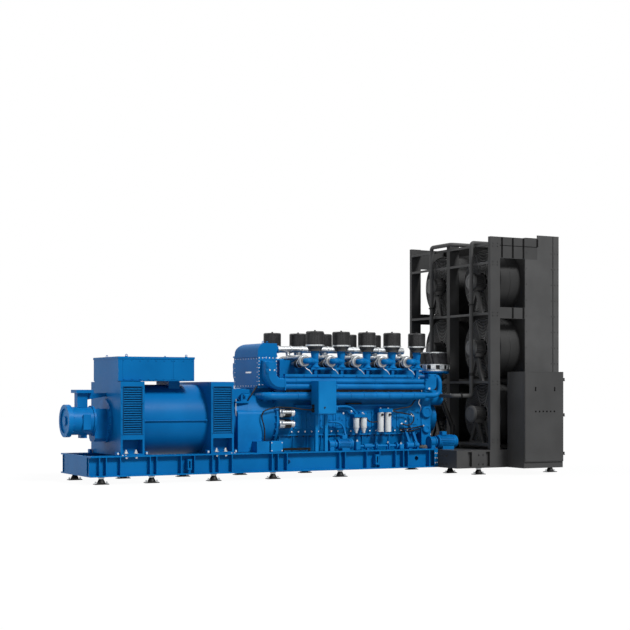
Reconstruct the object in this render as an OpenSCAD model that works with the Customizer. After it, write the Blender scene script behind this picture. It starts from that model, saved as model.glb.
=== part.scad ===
// Diesel generator set with an electric-fan radiator on one line of isolators.
// X runs along the shaft from the alternator to the radiator, -Y is the service side, Z = 0 is the floor.
// The origin lies midway between the four outermost anchor holes of the skid's corner isolators.

/* [Skid] */
// Length of the skid past the crankcase
skid_past = 180; // [150:5:205]
// Width over the two rails
skid_w = 1620; // [1580:10:1700]
// Height of the rails
skid_h = 360; // [320:5:400]
// Width of a rail flange
flange_w = 200; // [160:5:230]
// Thickness of a rail flange
flange_t = 25; // [15:1:40]
// Thickness of a rail web
web_t = 20; // [12:1:30]
// Thickness of a web stiffener
rib_t = 16; // [10:1:24]
// Radius of the round web holes
web_hole_r = 42; // [25:1:60]
// Height of a cross member
cross_h = 220; // [160:5:250]
// Width of a cross member
cross_w = 120; // [80:5:160]

/* [Isolators] */
// Height of an isolator from floor to skid
foot_h = 130; // [110:5:160]
// Length of the foot plate
foot_l = 250; // [220:5:300]
// Width of the foot plate
foot_w = 130; // [100:5:150]
// Thickness of the foot plate
foot_t = 12; // [8:1:20]
// Radius of the bell at its skirt
bell_r = 72; // [60:1:80]
// Radius of the bell at its top
bell_top_r = 34; // [25:1:45]
// Radius of an anchor hole
anchor_r = 9; // [6:0.5:12]
// Distance of an anchor hole from the foot's centre
anchor_off = 102; // [95:1:108]
// Place of the first skid isolator along the skid
foot_first = 225; // [180:5:260]
// Distance of the isolators that end the row from the skid's end
foot_past = 350; // [300:5:400]
// Distance of a radiator isolator from an end of its base
rad_foot_off = 127; // [125:1:160]

/* [Alternator] */
// Height of the shaft above the skid
shaft_h = 594; // [585:1:640]
// Place of the non-drive-end frame
nde_x = 557; // [520:1:600]
// Length of the non-drive-end frame
nde_l = 440; // [400:5:480]
// Length of the stator barrel between the frames
barrel_l = 1265; // [1200:5:1320]
// Length of the drive-end frame
de_l = 446; // [420:2:480]
// Half width of the frames
frame_y = 770; // [740:5:800]
// Height of the frames
frame_h = 1283; // [1260:1:1320]
// Radius of the stator barrel
barrel_r = 640; // [600:5:660]
// Height of the louvred opening above the skid
louvre_z = 355; // [330:5:400]
// Height of the louvred opening
louvre_h = 847; // [780:1:880]
// Border of frame left beside the louvred opening
louvre_border = 37; // [25:1:50]
// Depth of the louvre recess
louvre_d = 36; // [25:1:60]
// Number of louvre slats
slats = 20; // [12:1:26]
// Length of the terminal box
tbox_l = 1430; // [1300:10:1500]
// Half width of the terminal box
tbox_y = 640; // [560:5:700]
// Height of the terminal box
tbox_h = 425; // [360:5:480]
// Height of the pads under the terminal box
tbox_pad = 12; // [8:1:30]
// Place of the terminal box pedestal
pedestal_x = 1640; // [1500:10:1700]
// Length of the terminal box pedestal
pedestal_l = 210; // [150:10:260]
// Length of the bearing shield
shield_l = 251; // [200:1:300]
// Length of the exciter drum
exciter_l = 512; // [450:1:560]
// Radius of the exciter drum
exciter_r = 247; // [235:1:260]

/* [Engine] */
// Length of the coupling cone
cone_l = 392; // [370:2:410]
// Length of the flywheel housing
fly_l = 602; // [560:2:640]
// Radius of the flywheel housing
fly_r = 575; // [550:5:585]
// Length of the crankcase
block_l = 3168; // [3100:2:3220]
// Half width of the crankcase
block_y = 480; // [460:2:490]
// Tilt of each cylinder bank from the vertical
bank_tilt = 36; // [30:1:40]
// Distance of the head deck from the crankshaft
deck_r = 680; // [660:2:700]
// Cylinder pitch
cyl_pitch = 281; // [276:1:286]
// Cylinders on a bank
cyl_n = 10; // [8:1:10]
// Height of a cylinder head
head_h = 200; // [180:2:220]
// Half width of a cylinder head
head_y = 115; // [105:1:120]
// Gap between cylinder heads
head_gap = 30; // [15:1:60]
// Length of the charge air cooler
cooler_l = 390; // [360:5:400]
// Half width of the charge air cooler
cooler_y = 513; // [490:1:520]
// Height of the charge air cooler
cooler_h = 827; // [800:1:840]
// Depth of the oil pan
pan_h = 570; // [500:10:600]
// Half width of the oil pan
pan_y = 410; // [380:5:430]

/* [Air intake] */
// Filters on a bank
filter_n = 5; // [3:1:5]
// Pitch of the filters
filter_pitch = 562; // [550:1:575]
// Distance of the first filter from the engine's flywheel face
filter_x = 771; // [755:1:785]
// Distance of a filter row from the centre line
filter_y = 560; // [545:1:575]
// Radius of a filter
filter_r = 172; // [160:1:180]
// Height of a filter
filter_h = 370; // [340:5:400]
// Height of a filter's seat above the floor
filter_z = 2355; // [2345:5:2380]
// Ribs around a filter
filter_ribs = 36; // [24:2:48]
// Radius of the rubber collar under a filter
collar_r = 125; // [115:1:135]
// Radius of the intake funnel at its mouth
mouth_r = 81; // [76:1:90]
// Radius of the intake funnel at its waist
neck_r = 60; // [54:1:64]
// Radius of the elbow from a funnel to its compressor
inlet_r = 70; // [66:1:72]
// Height of the turbocharger axis above the floor
turbo_z = 2165; // [2155:1:2175]
// Distance of a compressor from its filter
turbo_off = 283; // [275:1:288]
// Radius of the volute's ring
volute_r = 74; // [73:1:78]
// Radius of the volute's tube
volute_tube = 38; // [32:1:40]
// Radius of the charge air header
header_r = 62; // [56:1:70]
// Radius of the branches from the header to the compressors
branch_r = 44; // [38:1:48]

/* [Pipes] */
// Distance of the side pipes from the centre line
pipe_y = 682; // [678:1:690]
// Radius of the lower manifold
manifold_r = 72; // [60:1:74]
// Radius of the middle pipe
mid_pipe_r = 54; // [45:1:55]
// Radius of the upper pipe
top_pipe_r = 45; // [38:1:46]
// Distance of the side pipes' front end from the crankcase's
pipe_short = 70; // [50:5:120]
// Width of the cooler duct
duct_w = 215; // [212:1:225]
// Depth of the cooler duct
duct_d = 240; // [236:1:250]
// Radius of the bend that joins the manifold to the exhaust
riser_r = 50; // [40:1:52]
// Radius of the coolant pipes to the radiator
coolant_r = 40; // [32:1:45]
// Radius of the exhaust pipe
exhaust_r = 180; // [160:1:188]
// Radius of the bellows at its foot
bellows_r = 312; // [295:1:318]
// Height of the bellows
bellows_h = 380; // [350:5:400]

/* [Controls] */
// Width of the control box
box_w = 380; // [340:5:420]
// Depth of the control box
box_d = 280; // [240:5:300]
// Height of the control box
box_h = 604; // [540:2:660]
// Thickness of the sheet walls
sheet_t = 12; // [8:1:20]
// Width of the radiator cabinet
cab_w = 928; // [860:2:960]
// Depth of the radiator cabinet
cab_d = 560; // [500:5:600]
// Height of the radiator cabinet
cab_h = 1849; // [1700:5:1900]
// Thickness of a door
door_t = 22; // [16:1:30]
// Running gap at a door
door_gap = 6; // [5:0.5:8]

/* [Radiator] */
// Length of the radiator base
rad_l = 2425; // [2400:5:2500]
// Half width of the radiator
rad_y = 1463; // [1450:1:1500]
// Height of the radiator base
rad_base_h = 340; // [320:5:345]
// Distance of the posts from the skid's end
post_off = 778; // [760:2:800]
// Depth of a post along the shaft
post_d = 226; // [200:2:240]
// Width of a post
post_w = 80; // [60:2:100]
// Height of the frame above the base
post_h = 4125; // [4100:5:4160]
// Distance of the core from the skid's end
core_off = 1601; // [1590:1:1620]
// Thickness of the side panels
panel_t = 20; // [12:1:30]
// Vertical pitch of the fans
fan_pitch = 1306; // [1300:1:1310]
// Height of the lowest fan above the base
fan_low = 687; // [680:1:695]
// Distance of a fan from the centre line
fan_y = 727; // [722:1:730]
// Radius of a fan ring
ring_r = 600; // [580:2:610]
// Wall of a fan ring
ring_t = 8; // [5:1:12]
// Radius of a fan motor
motor_r = 157; // [140:1:165]
// Length of a fan motor
motor_l = 260; // [230:5:265]
// Blades on a fan
blades = 7; // [5:1:9]
// Radial gap between the blades and the ring
blade_gap = 15; // [8:1:25]
// Radius of a motor shaft
motor_shaft_r = 24; // [18:1:28]

/* [Hidden] */
$fn = 64;

blue = "#1f6fb2";
dark_blue = "#0f3f73";
black = "#2b2b2b";
silver = "#cfd3d4";
white = "#e8ecec";

// Every X below is measured from the skid's alternator end and moved to the origin here.
de_x = nde_x + nde_l + barrel_l;
de_face = de_x + de_l;
fly_x = de_face + cone_l;
engine_x = fly_x + fly_l;
block_x1 = engine_x + block_l;
skid_l = block_x1 + skid_past;
foot_last = skid_l + foot_past;
anchor_x0 = foot_first - anchor_off;
anchor_x1 = foot_last + anchor_off;
skid_x = -(anchor_x0 + anchor_x1) / 2;

deck_z = foot_h + skid_h;
shaft_z = deck_z + shaft_h;
rail_y = skid_w / 2 - flange_w / 2;
rail_in_y = skid_w / 2 - flange_w;
foot_xs = [foot_first, nde_x + nde_l + 153, de_x + 75, engine_x - 182, engine_x + 1228, foot_last];
cross_xs = [for (i = [0 : 3]) foot_xs[i]];
rib_xs = concat([nde_x - 13, de_x - 591, de_x - 335, de_face - 49],
    [for (d = [65, 1753, 2039, 2394, 2567, 2671, 3159]) engine_x + d]);
rib_pair = 60;
web_holes = [engine_x + 129, engine_x + 2915];
lug_xs = [de_x - 442, engine_x + 1968];

frame_z1 = deck_z + frame_h;
tbox_x = nde_x + 3;
shield_x = nde_x - shield_l;
exciter_x = shield_x - exciter_l;
pan_z = deck_z + 310;
engine_mid = engine_x + 1727;
head_seat = 0.2;
cooler_x = engine_x - cooler_l;
cooler_z = shaft_z + fly_r + 4;
cooler_z1 = cooler_z + cooler_h;
cooler_band_z = cooler_z + 573;
touch_fit = 0.3;
carrier_y = 230;
carrier_z = shaft_z + 416;
header_z = cooler_z1 - 95;
outlet_z = turbo_z + volute_r;
carrier_z1 = outlet_z - branch_r - 6;
compressor_l = branch_r + 2;
outlet_y = filter_y - volute_r - volute_tube - 5;
trestle_z = turbo_z - volute_r - volute_tube - 4;
trestle_h = 38;

manifold_z = shaft_z + 432;
mid_pipe_z = shaft_z + 608;
top_pipe_z = shaft_z + 709;
duct_z = mid_pipe_z - mid_pipe_r - 6;
duct_x = cooler_x + 58;
pipe_x = engine_x + 66;
pipe_l = block_x1 - pipe_short - pipe_x;

gear_l = 210;
gear_y = block_y + 20;
gear_x1 = block_x1 + gear_l;
boss_y = 340;
boss_z = shaft_z + 395;
boss_r = 150;
boss_x1 = gear_x1 + 299;

exhaust_z = shaft_z + 701;
exhaust_x = block_x1 + 600;
exhaust_bend = 220;
bellows_z = exhaust_z + exhaust_bend;

canister_r = 60;
canister_y = block_y + 120;
canister_pitch = 166;
oil_x = engine_x + 2178;
oil_z = shaft_z - 258;
oil_h = 375;
fuel_x = engine_x + 1638;
fuel_z = shaft_z - 281;
fuel_h = 305;

rad_x = skid_l;
rad_z = foot_h + rad_base_h;
rad_x1 = rad_x + rad_l;
rad_foot_xs = [rad_x + 579, rad_x1 - rad_foot_off];
rad_foot_y = rad_y - 113;
girder_w = 160;
deck_t = 10;
post_x = rad_x + post_off;
post_x1 = post_x + post_d;
mid_post_y = 55;
core_x = rad_x + core_off;
frame_top = rad_z + post_h;
girder_z = frame_top - 409;
mid_girder_z = rad_z + 2547;
mid_girder_h = 217;
panel_step_x = rad_x1 - 526;
panel_top = frame_top + 73;
core_top = frame_top + 15;
shroud_fit = 0.4;
fan_zs = [for (i = [0:2]) rad_z + fan_low + i * fan_pitch];
beam_zs = [for (h = [120, 1332, 2660, 3645, 4000]) rad_z + h];
motor_x = post_x + 52;
motor_x1 = motor_x + motor_l;
foot_drop = 18;
guard_t = 12;
guard_x = motor_x1 + 13;
ring_x = guard_x + guard_t;
fan_x = ring_x + 40;
fan_l = 100;
hub_r = 90;
hub_fit = 0.3;

cab_x = post_x1 + 177;
cab_y = -rad_y - cab_d;
box_x = engine_x + 585;
box_y = -rail_y - 60 - box_d;
box_z = deck_z + 700;
plinth_h = 120;
box_hinges = [70, box_h - 140];
cab_hinges = [120, (cab_h - plinth_h) / 2, cab_h - plinth_h - 180];
hinge_r = 8;
hinge_wall = 14;
hinge_fit = 0.3;
pin_off = 15;
leaf_gap = 25;
arm_d = 80;
arm_t = 12;
knuckle_h = 50;

// Moves a sub-part from the skid's alternator end to the origin.
module from_skid_end() {
    translate([skid_x, 0, 0]) children();
}

// A copy on the service side and its mirror image on the far side.
module both_sides() {
    children();
    mirror([0, 1, 0]) children();
}

// A copy on the service side and one turned half round the engine's middle.
module both_banks() {
    children();
    translate([2 * engine_mid, 0, 0]) rotate([0, 0, 180]) children();
}

// A cylinder along +X from the point given.
module rod_x(p, r, l) {
    translate(p) rotate([0, 90, 0]) cylinder(r = r, h = l);
}

// A cylinder along +Y from the point given.
module rod_y(p, r, l) {
    translate(p) rotate([-90, 0, 0]) cylinder(r = r, h = l);
}

// A profile in the YZ plane drawn out along +X.
module along_x(x, l, outline) {
    translate([x, 0, 0]) rotate([90, 0, 90]) linear_extrude(l) polygon(outline);
}

// A profile in the XZ plane drawn out along +Y.
module along_y(y, l, outline) {
    translate([0, y + l, 0]) rotate([90, 0, 0]) linear_extrude(l) polygon(outline);
}

// A straight pipe between two points.
module pipe(p, q, r) {
    d = q - p;
    translate(p) rotate([0, acos(d[2] / norm(d)), atan2(d[1], d[0])]) cylinder(r = r, h = norm(d));
}

function unit(v) = v / norm(v);

// The turn that carries X, Y and Z onto three given unit vectors.
function turn_onto(x, y, z) = abs(x[2]) > 0.9999
    ? [atan2(-sign(x[2]) * y[0], y[1]), -90 * sign(x[2]), 0]
    : [atan2(y[2], z[2]), asin(-x[2]), atan2(x[1], x[0])];

// How far a bend of the given radius at point i reaches along its two straights.
function bend_reach(points, i, bend) = i == 0 || i == len(points) - 1 ? 0 : let (
    u = unit(points[i] - points[i - 1]),
    v = unit(points[i + 1] - points[i])) bend * tan(acos(u * v) / 2);

// A round bend at a corner point, from direction u to direction v.
module pipe_bend(corner, u, v, r, bend) {
    angle = acos(u * v);
    axis = unit(cross(u, v));
    inward = cross(axis, u);
    centre = corner - u * bend * tan(angle / 2) + inward * bend;
    translate(centre) rotate(turn_onto(-inward, u, axis))
        rotate_extrude(angle = angle) translate([bend, 0]) circle(r = r);
}

// A pipe through a list of points, with round bends at the inner ones.
module pipe_run(points, r, bend) {
    for (i = [0 : len(points) - 2]) {
        u = unit(points[i + 1] - points[i]);
        pipe(points[i] + u * bend_reach(points, i, bend),
            points[i + 1] - u * bend_reach(points, i + 1, bend), r);
    }
    for (i = [1 : len(points) - 2])
        pipe_bend(points[i], unit(points[i] - points[i - 1]), unit(points[i + 1] - points[i]), r, bend);
}

// One rail: an I girder with stiffeners, two round holes and two lifting lugs.
module rail() {
    rib_d = (flange_w - web_t) / 2;
    clear_h = skid_h - 2 * flange_t;
    difference() {
        union() {
            translate([0, -rail_y - flange_w / 2, foot_h]) cube([skid_l, flange_w, flange_t]);
            translate([0, -rail_y - flange_w / 2, deck_z - flange_t]) cube([skid_l, flange_w, flange_t]);
            translate([0, -rail_y - web_t / 2, foot_h]) cube([skid_l, web_t, skid_h]);
            for (x = concat(rib_xs, [for (f = foot_xs, s = [-1, 1]) if (f < skid_l) f + s * rib_pair]))
                translate([x - rib_t / 2, -rail_y - flange_w / 2, foot_h]) cube([rib_t, rib_d + 1, skid_h]);
            for (x = lug_xs)
                translate([x - 40, -rail_y - flange_w / 2 - 30, foot_h + flange_t + 60])
                    cube([80, rib_d + 31, clear_h - 120]);
        }
        for (x = web_holes) rod_y([x, -rail_y - web_t, foot_h + skid_h / 2], web_hole_r, 2 * web_t);
        for (x = lug_xs)
            translate([x - 14, -rail_y - flange_w / 2 - 31, foot_h + flange_t + 95])
                cube([28, rib_d, clear_h - 190]);
    }
}

module skid_rails() {
    color(blue) from_skid_end() both_sides() rail();
}

module skid_cross_members() {
    color(blue) from_skid_end() {
        for (x = cross_xs)
            translate([x - cross_w / 2, -rail_in_y, foot_h]) cube([cross_w, 2 * rail_in_y, cross_h]);
        for (x = [0, skid_l - flange_t])
            translate([x, -rail_in_y, foot_h]) cube([flange_t, 2 * rail_in_y, skid_h]);
    }
}

// A bell isolator: foot plate with two anchor holes, and the bell turned about its bolt.
module isolator() {
    difference() {
        union() {
            translate([-foot_l / 2, -foot_w / 2, 0]) cube([foot_l, foot_w, foot_t]);
            rotate_extrude() polygon([[0, 0], [bell_r, 0], [bell_r, foot_t + 22], [bell_r - 12, foot_t + 48],
                [bell_top_r + 6, foot_h - 34], [bell_top_r, foot_h - 24], [bell_top_r, foot_h], [0, foot_h]]);
        }
        for (s = [-1, 1]) translate([s * anchor_off, 0, -1]) cylinder(r = anchor_r, h = foot_t + 2);
    }
}

module isolators() {
    color(black) from_skid_end() {
        for (x = foot_xs, s = [-1, 1]) translate([x, s * rail_y, 0]) isolator();
        for (x = rad_foot_xs, s = [-1, 1]) translate([x, s * rad_foot_y, 0]) isolator();
    }
}

module radiator_base_girders() {
    color(black) from_skid_end() both_sides() difference() {
        translate([rad_x, -rad_y, foot_h]) cube([rad_l, girder_w, rad_base_h]);
        for (x = [257, 675])
            translate([rad_x + x, -rad_y - 1, foot_h + 30]) cube([92, 60, rad_base_h - 60]);
    }
}

module radiator_base_beams() {
    y = rad_y - girder_w;
    color(black) from_skid_end()
        for (x = [0, foot_last - rad_x - 100, post_off, rad_l - 200])
            translate([rad_x + x, -y, foot_h]) cube([200, 2 * y, rad_base_h - deck_t]);
}

module radiator_deck() {
    y = rad_y - girder_w;
    color(black) from_skid_end()
        translate([rad_x, -y, rad_z - deck_t]) cube([rad_l, 2 * y, deck_t]);
}

// An end frame of the alternator: a box with louvre recesses and foot pockets in both sides.
module alternator_frame(x, l) {
    pocket_d = 200;
    difference() {
        translate([x, -frame_y, deck_z]) cube([l, 2 * frame_y, frame_h]);
        both_sides() {
            translate([x + louvre_border, -frame_y - 1, deck_z + louvre_z])
                cube([l - 2 * louvre_border, louvre_d + 1, louvre_h]);
            translate([x + louvre_border, -frame_y - 1, deck_z + 30])
                cube([l - 2 * louvre_border, pocket_d + 1, louvre_z - 110]);
        }
    }
}

module alternator_frames() {
    color(blue) from_skid_end() {
        alternator_frame(nde_x, nde_l);
        alternator_frame(de_x, de_l);
    }
}

module alternator_barrel() {
    x0 = nde_x + nde_l;
    color(blue) from_skid_end() {
        rod_x([x0, 0, shaft_z], barrel_r, de_x - x0);
        translate([pedestal_x, -300, shaft_z]) cube([pedestal_l, 600, frame_z1 - shaft_z]);
        both_sides()
            translate([x0 + 50, -barrel_r - 18, shaft_z - 12]) cube([de_x - x0 - 100, 60, 24]);
    }
}

// A louvre panel: a frame with sloping slats, seated in the recess of an end frame.
module louvre(x, l) {
    w = l - 2 * louvre_border;
    rim = 18;
    pitch = (louvre_h - 2 * rim) / slats;
    translate([x + louvre_border, -frame_y, deck_z + louvre_z]) {
        difference() {
            cube([w, louvre_d, louvre_h]);
            translate([rim, -1, rim]) cube([w - 2 * rim, louvre_d - 7, louvre_h - 2 * rim]);
        }
        for (i = [0 : slats - 1])
            along_x(rim, w - 2 * rim, [[4, rim + i * pitch + 2], [8, rim + i * pitch + 2],
                [louvre_d - 7, rim + (i + 0.75) * pitch], [louvre_d - 7, rim + (i + 0.75) * pitch + 5]]);
    }
}

module alternator_louvres() {
    color(blue) from_skid_end() both_sides() {
        louvre(nde_x, nde_l);
        louvre(de_x, de_l);
    }
}

// The bearing shield: a round plate on the frame and a box with a bevelled foot that carries the exciter.
module alternator_bearing_shield() {
    half = 160;
    top = shaft_z + 209;
    low = shaft_z - 368;
    bevel = 60;
    plate_t = 40;
    color(dark_blue) from_skid_end() {
        rod_x([nde_x - plate_t, 0, shaft_z], exciter_r + 140, plate_t);
        along_x(shield_x, shield_l, [[-half, top], [half, top], [half, low + bevel], [half - bevel, low],
            [bevel - half, low], [-half, low + bevel]]);
    }
}

// The exciter: drum, end disc with a ring-shaped recess round its hub, and the drain box below.
module exciter() {
    disc_l = 86;
    recess = 26;
    color(blue) from_skid_end() difference() {
        union() {
            rod_x([exciter_x, 0, shaft_z], exciter_r, exciter_l);
            rod_x([exciter_x, 0, shaft_z], exciter_r + 40, disc_l);
            rod_x([shield_x - 36, 0, shaft_z], exciter_r + 20, 36);
            translate([shield_x - 229, -80, shaft_z - exciter_r - 57]) cube([110, 160, 120]);
        }
        difference() {
            rod_x([exciter_x - 1, 0, shaft_z], exciter_r - 30, recess + 1);
            rod_x([exciter_x - 2, 0, shaft_z], exciter_r / 3, recess + 3);
        }
    }
}

// The hood over the exciter on its post, and the lifting lugs on the drive-end frame.
module alternator_brackets() {
    hood_z = shaft_z + 489;
    hood_x = exciter_x + 175;
    hood_l = 315;
    post_w = 160;
    post_x = hood_x + 40;
    post_l = 187;
    post_z = shaft_z + exciter_r - 10;
    color(blue) from_skid_end() {
        translate([hood_x, -150, hood_z]) cube([hood_l, 300, 58]);
        difference() {
            translate([post_x, -post_w / 2, post_z]) cube([post_l, post_w, hood_z - post_z + 1]);
            rod_x([exciter_x, 0, shaft_z], exciter_r + touch_fit, exciter_l);
        }
        along_y(-20, 40, [[post_x + post_l - 1, hood_z - 120], [nde_x, hood_z - 60], [nde_x, hood_z],
            [post_x + post_l - 1, hood_z]]);
        both_sides() along_y(-frame_y + 120, 200, [[de_face, hood_z - 200], [de_face + 213, hood_z],
            [de_face + 213, hood_z + 75], [de_face, hood_z + 75]]);
    }
}

module terminal_box() {
    color(blue) from_skid_end() {
        translate([tbox_x, -tbox_y, frame_z1 + tbox_pad]) cube([tbox_l, 2 * tbox_y, tbox_h - 40]);
        translate([tbox_x - 8, -tbox_y - 8, frame_z1 + tbox_pad + tbox_h - 40])
            cube([tbox_l + 16, 2 * tbox_y + 16, 40]);
        translate([tbox_x, -tbox_y + 40, frame_z1]) cube([nde_l - 10, 2 * tbox_y - 80, tbox_pad + 1]);
        translate([pedestal_x, -300, frame_z1]) cube([pedestal_l, 600, tbox_pad + 1]);
    }
}

// The coupling cone, the flywheel housing with its flange and feet, and the pad for the cooler.
module flywheel_housing() {
    foot_y = rail_y + 80;
    color(blue) from_skid_end() {
        translate([de_face, 0, shaft_z]) rotate([0, 90, 0])
            cylinder(r1 = fly_r - 95, r2 = fly_r, h = fly_x - de_face);
        rod_x([fly_x, 0, shaft_z], fly_r, fly_l);
        difference() {
            rod_x([engine_x - 50, 0, shaft_z], fly_r + 40, 50);
            translate([engine_x - 51, -cooler_y, cooler_z]) cube([52, 2 * cooler_y, 200]);
        }
        translate([fly_x + 60, -foot_y, deck_z]) cube([250, 2 * foot_y, 200]);
        translate([cooler_x + 18, -300, shaft_z]) cube([engine_x - cooler_x - 18, 600, cooler_z - shaft_z]);
    }
}

// A point on the service bank: r from the crankshaft along the bank, s outwards across it.
function bank(r, s) = [-r * sin(bank_tilt) - s * cos(bank_tilt),
    shaft_z + r * cos(bank_tilt) - s * sin(bank_tilt)];
function far_point(p) = [-p[0], p[1]];

module crankcase() {
    outer = bank(deck_r, head_y + 5);
    inner = bank(deck_r, -head_y - 5);
    half = [[-block_y, pan_z + 90], [-block_y, pan_z + 600], outer, inner, [-200, carrier_z]];
    outline = concat([[-pan_y - 30, pan_z]], half, [for (i = [len(half) - 1 : -1 : 0]) far_point(half[i])],
        [[pan_y + 30, pan_z]]);
    color(blue) from_skid_end() along_x(engine_x, block_l, outline);
}

module oil_pan() {
    x0 = engine_x + 58;
    l = block_l - 128;
    z0 = pan_z - pan_h;
    rib_n = cyl_n;
    color(blue) from_skid_end() {
        along_x(x0, l, [[-pan_y, pan_z], [-pan_y + 60, z0 + 90], [-pan_y + 130, z0], [pan_y - 130, z0],
            [pan_y - 60, z0 + 90], [pan_y, pan_z]]);
        translate([x0, -pan_y - 30, pan_z - 30]) cube([l, 2 * pan_y + 60, 30]);
        for (i = [0 : rib_n])
            along_x(x0 + 20 + i * (l - 60) / rib_n, 20, [[-pan_y - 24, pan_z - 1], [-pan_y + 36, z0 + 90],
                [pan_y - 36, z0 + 90], [pan_y + 24, pan_z - 1]]);
    }
}

// The engine's front feet: narrow inclined plates from the crankcase down to the rails.
module engine_mounts() {
    plate_t = 50;
    color(blue) from_skid_end() both_sides() for (x = [block_x1 - 420, block_x1 - 260])
        along_x(x, plate_t, [[-block_y, pan_z + 100], [-block_y, pan_z + 170], [-rail_y - 40, deck_z + 50],
            [-rail_y - 40, deck_z], [-rail_y + 60, deck_z]]);
}

module bank_heads() {
    w = cyl_pitch - head_gap;
    for (i = [0 : cyl_n - 1])
        along_x(engine_mid + (i - cyl_n / 2) * cyl_pitch + head_gap / 2, w,
            [bank(deck_r + head_seat, head_y), bank(deck_r + head_seat, -head_y),
            bank(deck_r + head_h, -head_y), bank(deck_r + head_h, -head_y + 35),
            bank(deck_r + head_h + 50, -head_y + 55), bank(deck_r + head_h + 50, head_y - 55),
            bank(deck_r + head_h, head_y - 35), bank(deck_r + head_h, head_y)]);
}

module cylinder_heads() {
    color(blue) from_skid_end() both_banks() bank_heads();
}

// The turbocharger carrier in the V, and a trestle on the heads of each bank for the intake funnels.
module turbo_carrier() {
    cover_r = deck_r + head_h + 50 + head_seat;
    foot_s = 35;
    leg_w = 60;
    leg_top = 45;
    leg_z = trestle_z - trestle_h + 1;
    half = 62;
    color(dark_blue) from_skid_end() {
        along_x(engine_x + 198, block_l - 198, [[-190, carrier_z], [-carrier_y, carrier_z + 200],
            [-carrier_y, carrier_z1], [carrier_y, carrier_z1], [carrier_y, carrier_z + 200],
            [190, carrier_z]]);
        both_banks() {
            translate([filter_at(0) - 110, -filter_y - half, trestle_z - trestle_h])
                cube([(filter_n - 1) * filter_pitch + 220, 2 * half, trestle_h]);
            for (k = [0 : filter_n - 1])
                along_x(filter_at(k) - leg_w / 2, leg_w, [bank(cover_r, -foot_s), bank(cover_r, foot_s),
                    [-filter_y - leg_top, leg_z], [-filter_y + leg_top, leg_z]]);
        }
    }
}

function filter_at(k) = engine_x + filter_x + k * filter_pitch;

// One turbocharger: volute with its outlet, turbine body and exhaust stub.
module turbocharger(x) {
    back = 60;
    turbine_l = 130;
    turbine_r = 100;
    stub_r = 45;
    translate([x - turbo_off, -filter_y, turbo_z]) rotate([0, 90, 0]) {
        rotate_extrude() translate([volute_r, 0]) circle(r = volute_tube);
        translate([0, 0, -back]) cylinder(r = volute_r, h = back + compressor_l);
        translate([0, 0, -back - turbine_l]) cylinder(r = turbine_r, h = turbine_l + 1);
    }
    rod_y([x - turbo_off, -filter_y, outlet_z], branch_r, filter_y - outlet_y);
    rod_y([x - turbo_off - back - turbine_l / 2, -filter_y, turbo_z - 30], stub_r, filter_y - carrier_y);
}

module turbochargers() {
    color(silver) from_skid_end() both_banks() for (k = [0 : filter_n - 1]) turbocharger(filter_at(k));
}

// One intake funnel: foot, waist, mouth under the filter and the elbow to the compressor.
module funnel(x) {
    h = filter_z - trestle_z;
    foot_r = 86;
    translate([x, -filter_y, trestle_z])
        rotate_extrude() polygon([[0, 0], [foot_r, 0], [foot_r, 14], [neck_r, 42], [neck_r, h - 171],
            [mouth_r, h - 32], [mouth_r, h], [0, h]]);
    translate([x, -filter_y, turbo_z]) sphere(r = inlet_r);
    rod_x([x - turbo_off + compressor_l, -filter_y, turbo_z], inlet_r, turbo_off - compressor_l);
}

module filter_funnels() {
    color(blue) from_skid_end() both_banks() for (k = [0 : filter_n - 1]) funnel(filter_at(k));
}

// The ribbed outline of a filter.
module ribbed_outline(r, n, depth) {
    polygon([for (i = [0 : 2 * n - 1], s = [0, 1])
        let (a = (i + 0.1 + 0.8 * s) * 180 / n, q = i % 2 == 0 ? r : r - depth) [q * cos(a), q * sin(a)]]);
}

// One air filter: rubber collar, lower rim, ribbed jacket and lid.
module air_filter(x) {
    step = filter_r - 20;
    rim = 92;
    jacket = 119;
    lid = 24;
    translate([x, -filter_y, filter_z]) {
        rotate_extrude() polygon([[0, 0], [collar_r, 0], [collar_r, 36], [step, 80], [step, rim],
            [filter_r, rim], [filter_r, jacket + 1], [0, jacket + 1]]);
        translate([0, 0, jacket])
            linear_extrude(filter_h - lid + 1 - jacket) ribbed_outline(filter_r - 3, filter_ribs, 9);
        translate([0, 0, filter_h - lid]) cylinder(r1 = filter_r, r2 = filter_r - 14, h = lid);
    }
}

module air_filters() {
    color(black) from_skid_end() both_banks() for (k = [0 : filter_n - 1]) air_filter(filter_at(k));
}

module charge_air_header() {
    color(silver) from_skid_end() {
        rod_x([engine_x, 0, header_z], header_r, block_l - 120);
        both_banks() for (k = [0 : filter_n - 1]) {
            x = filter_at(k) - turbo_off;
            pipe_run([[x, 0, header_z], [x, 0, outlet_z], [x, -outlet_y, outlet_z]], branch_r, 80);
        }
    }
}

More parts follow.
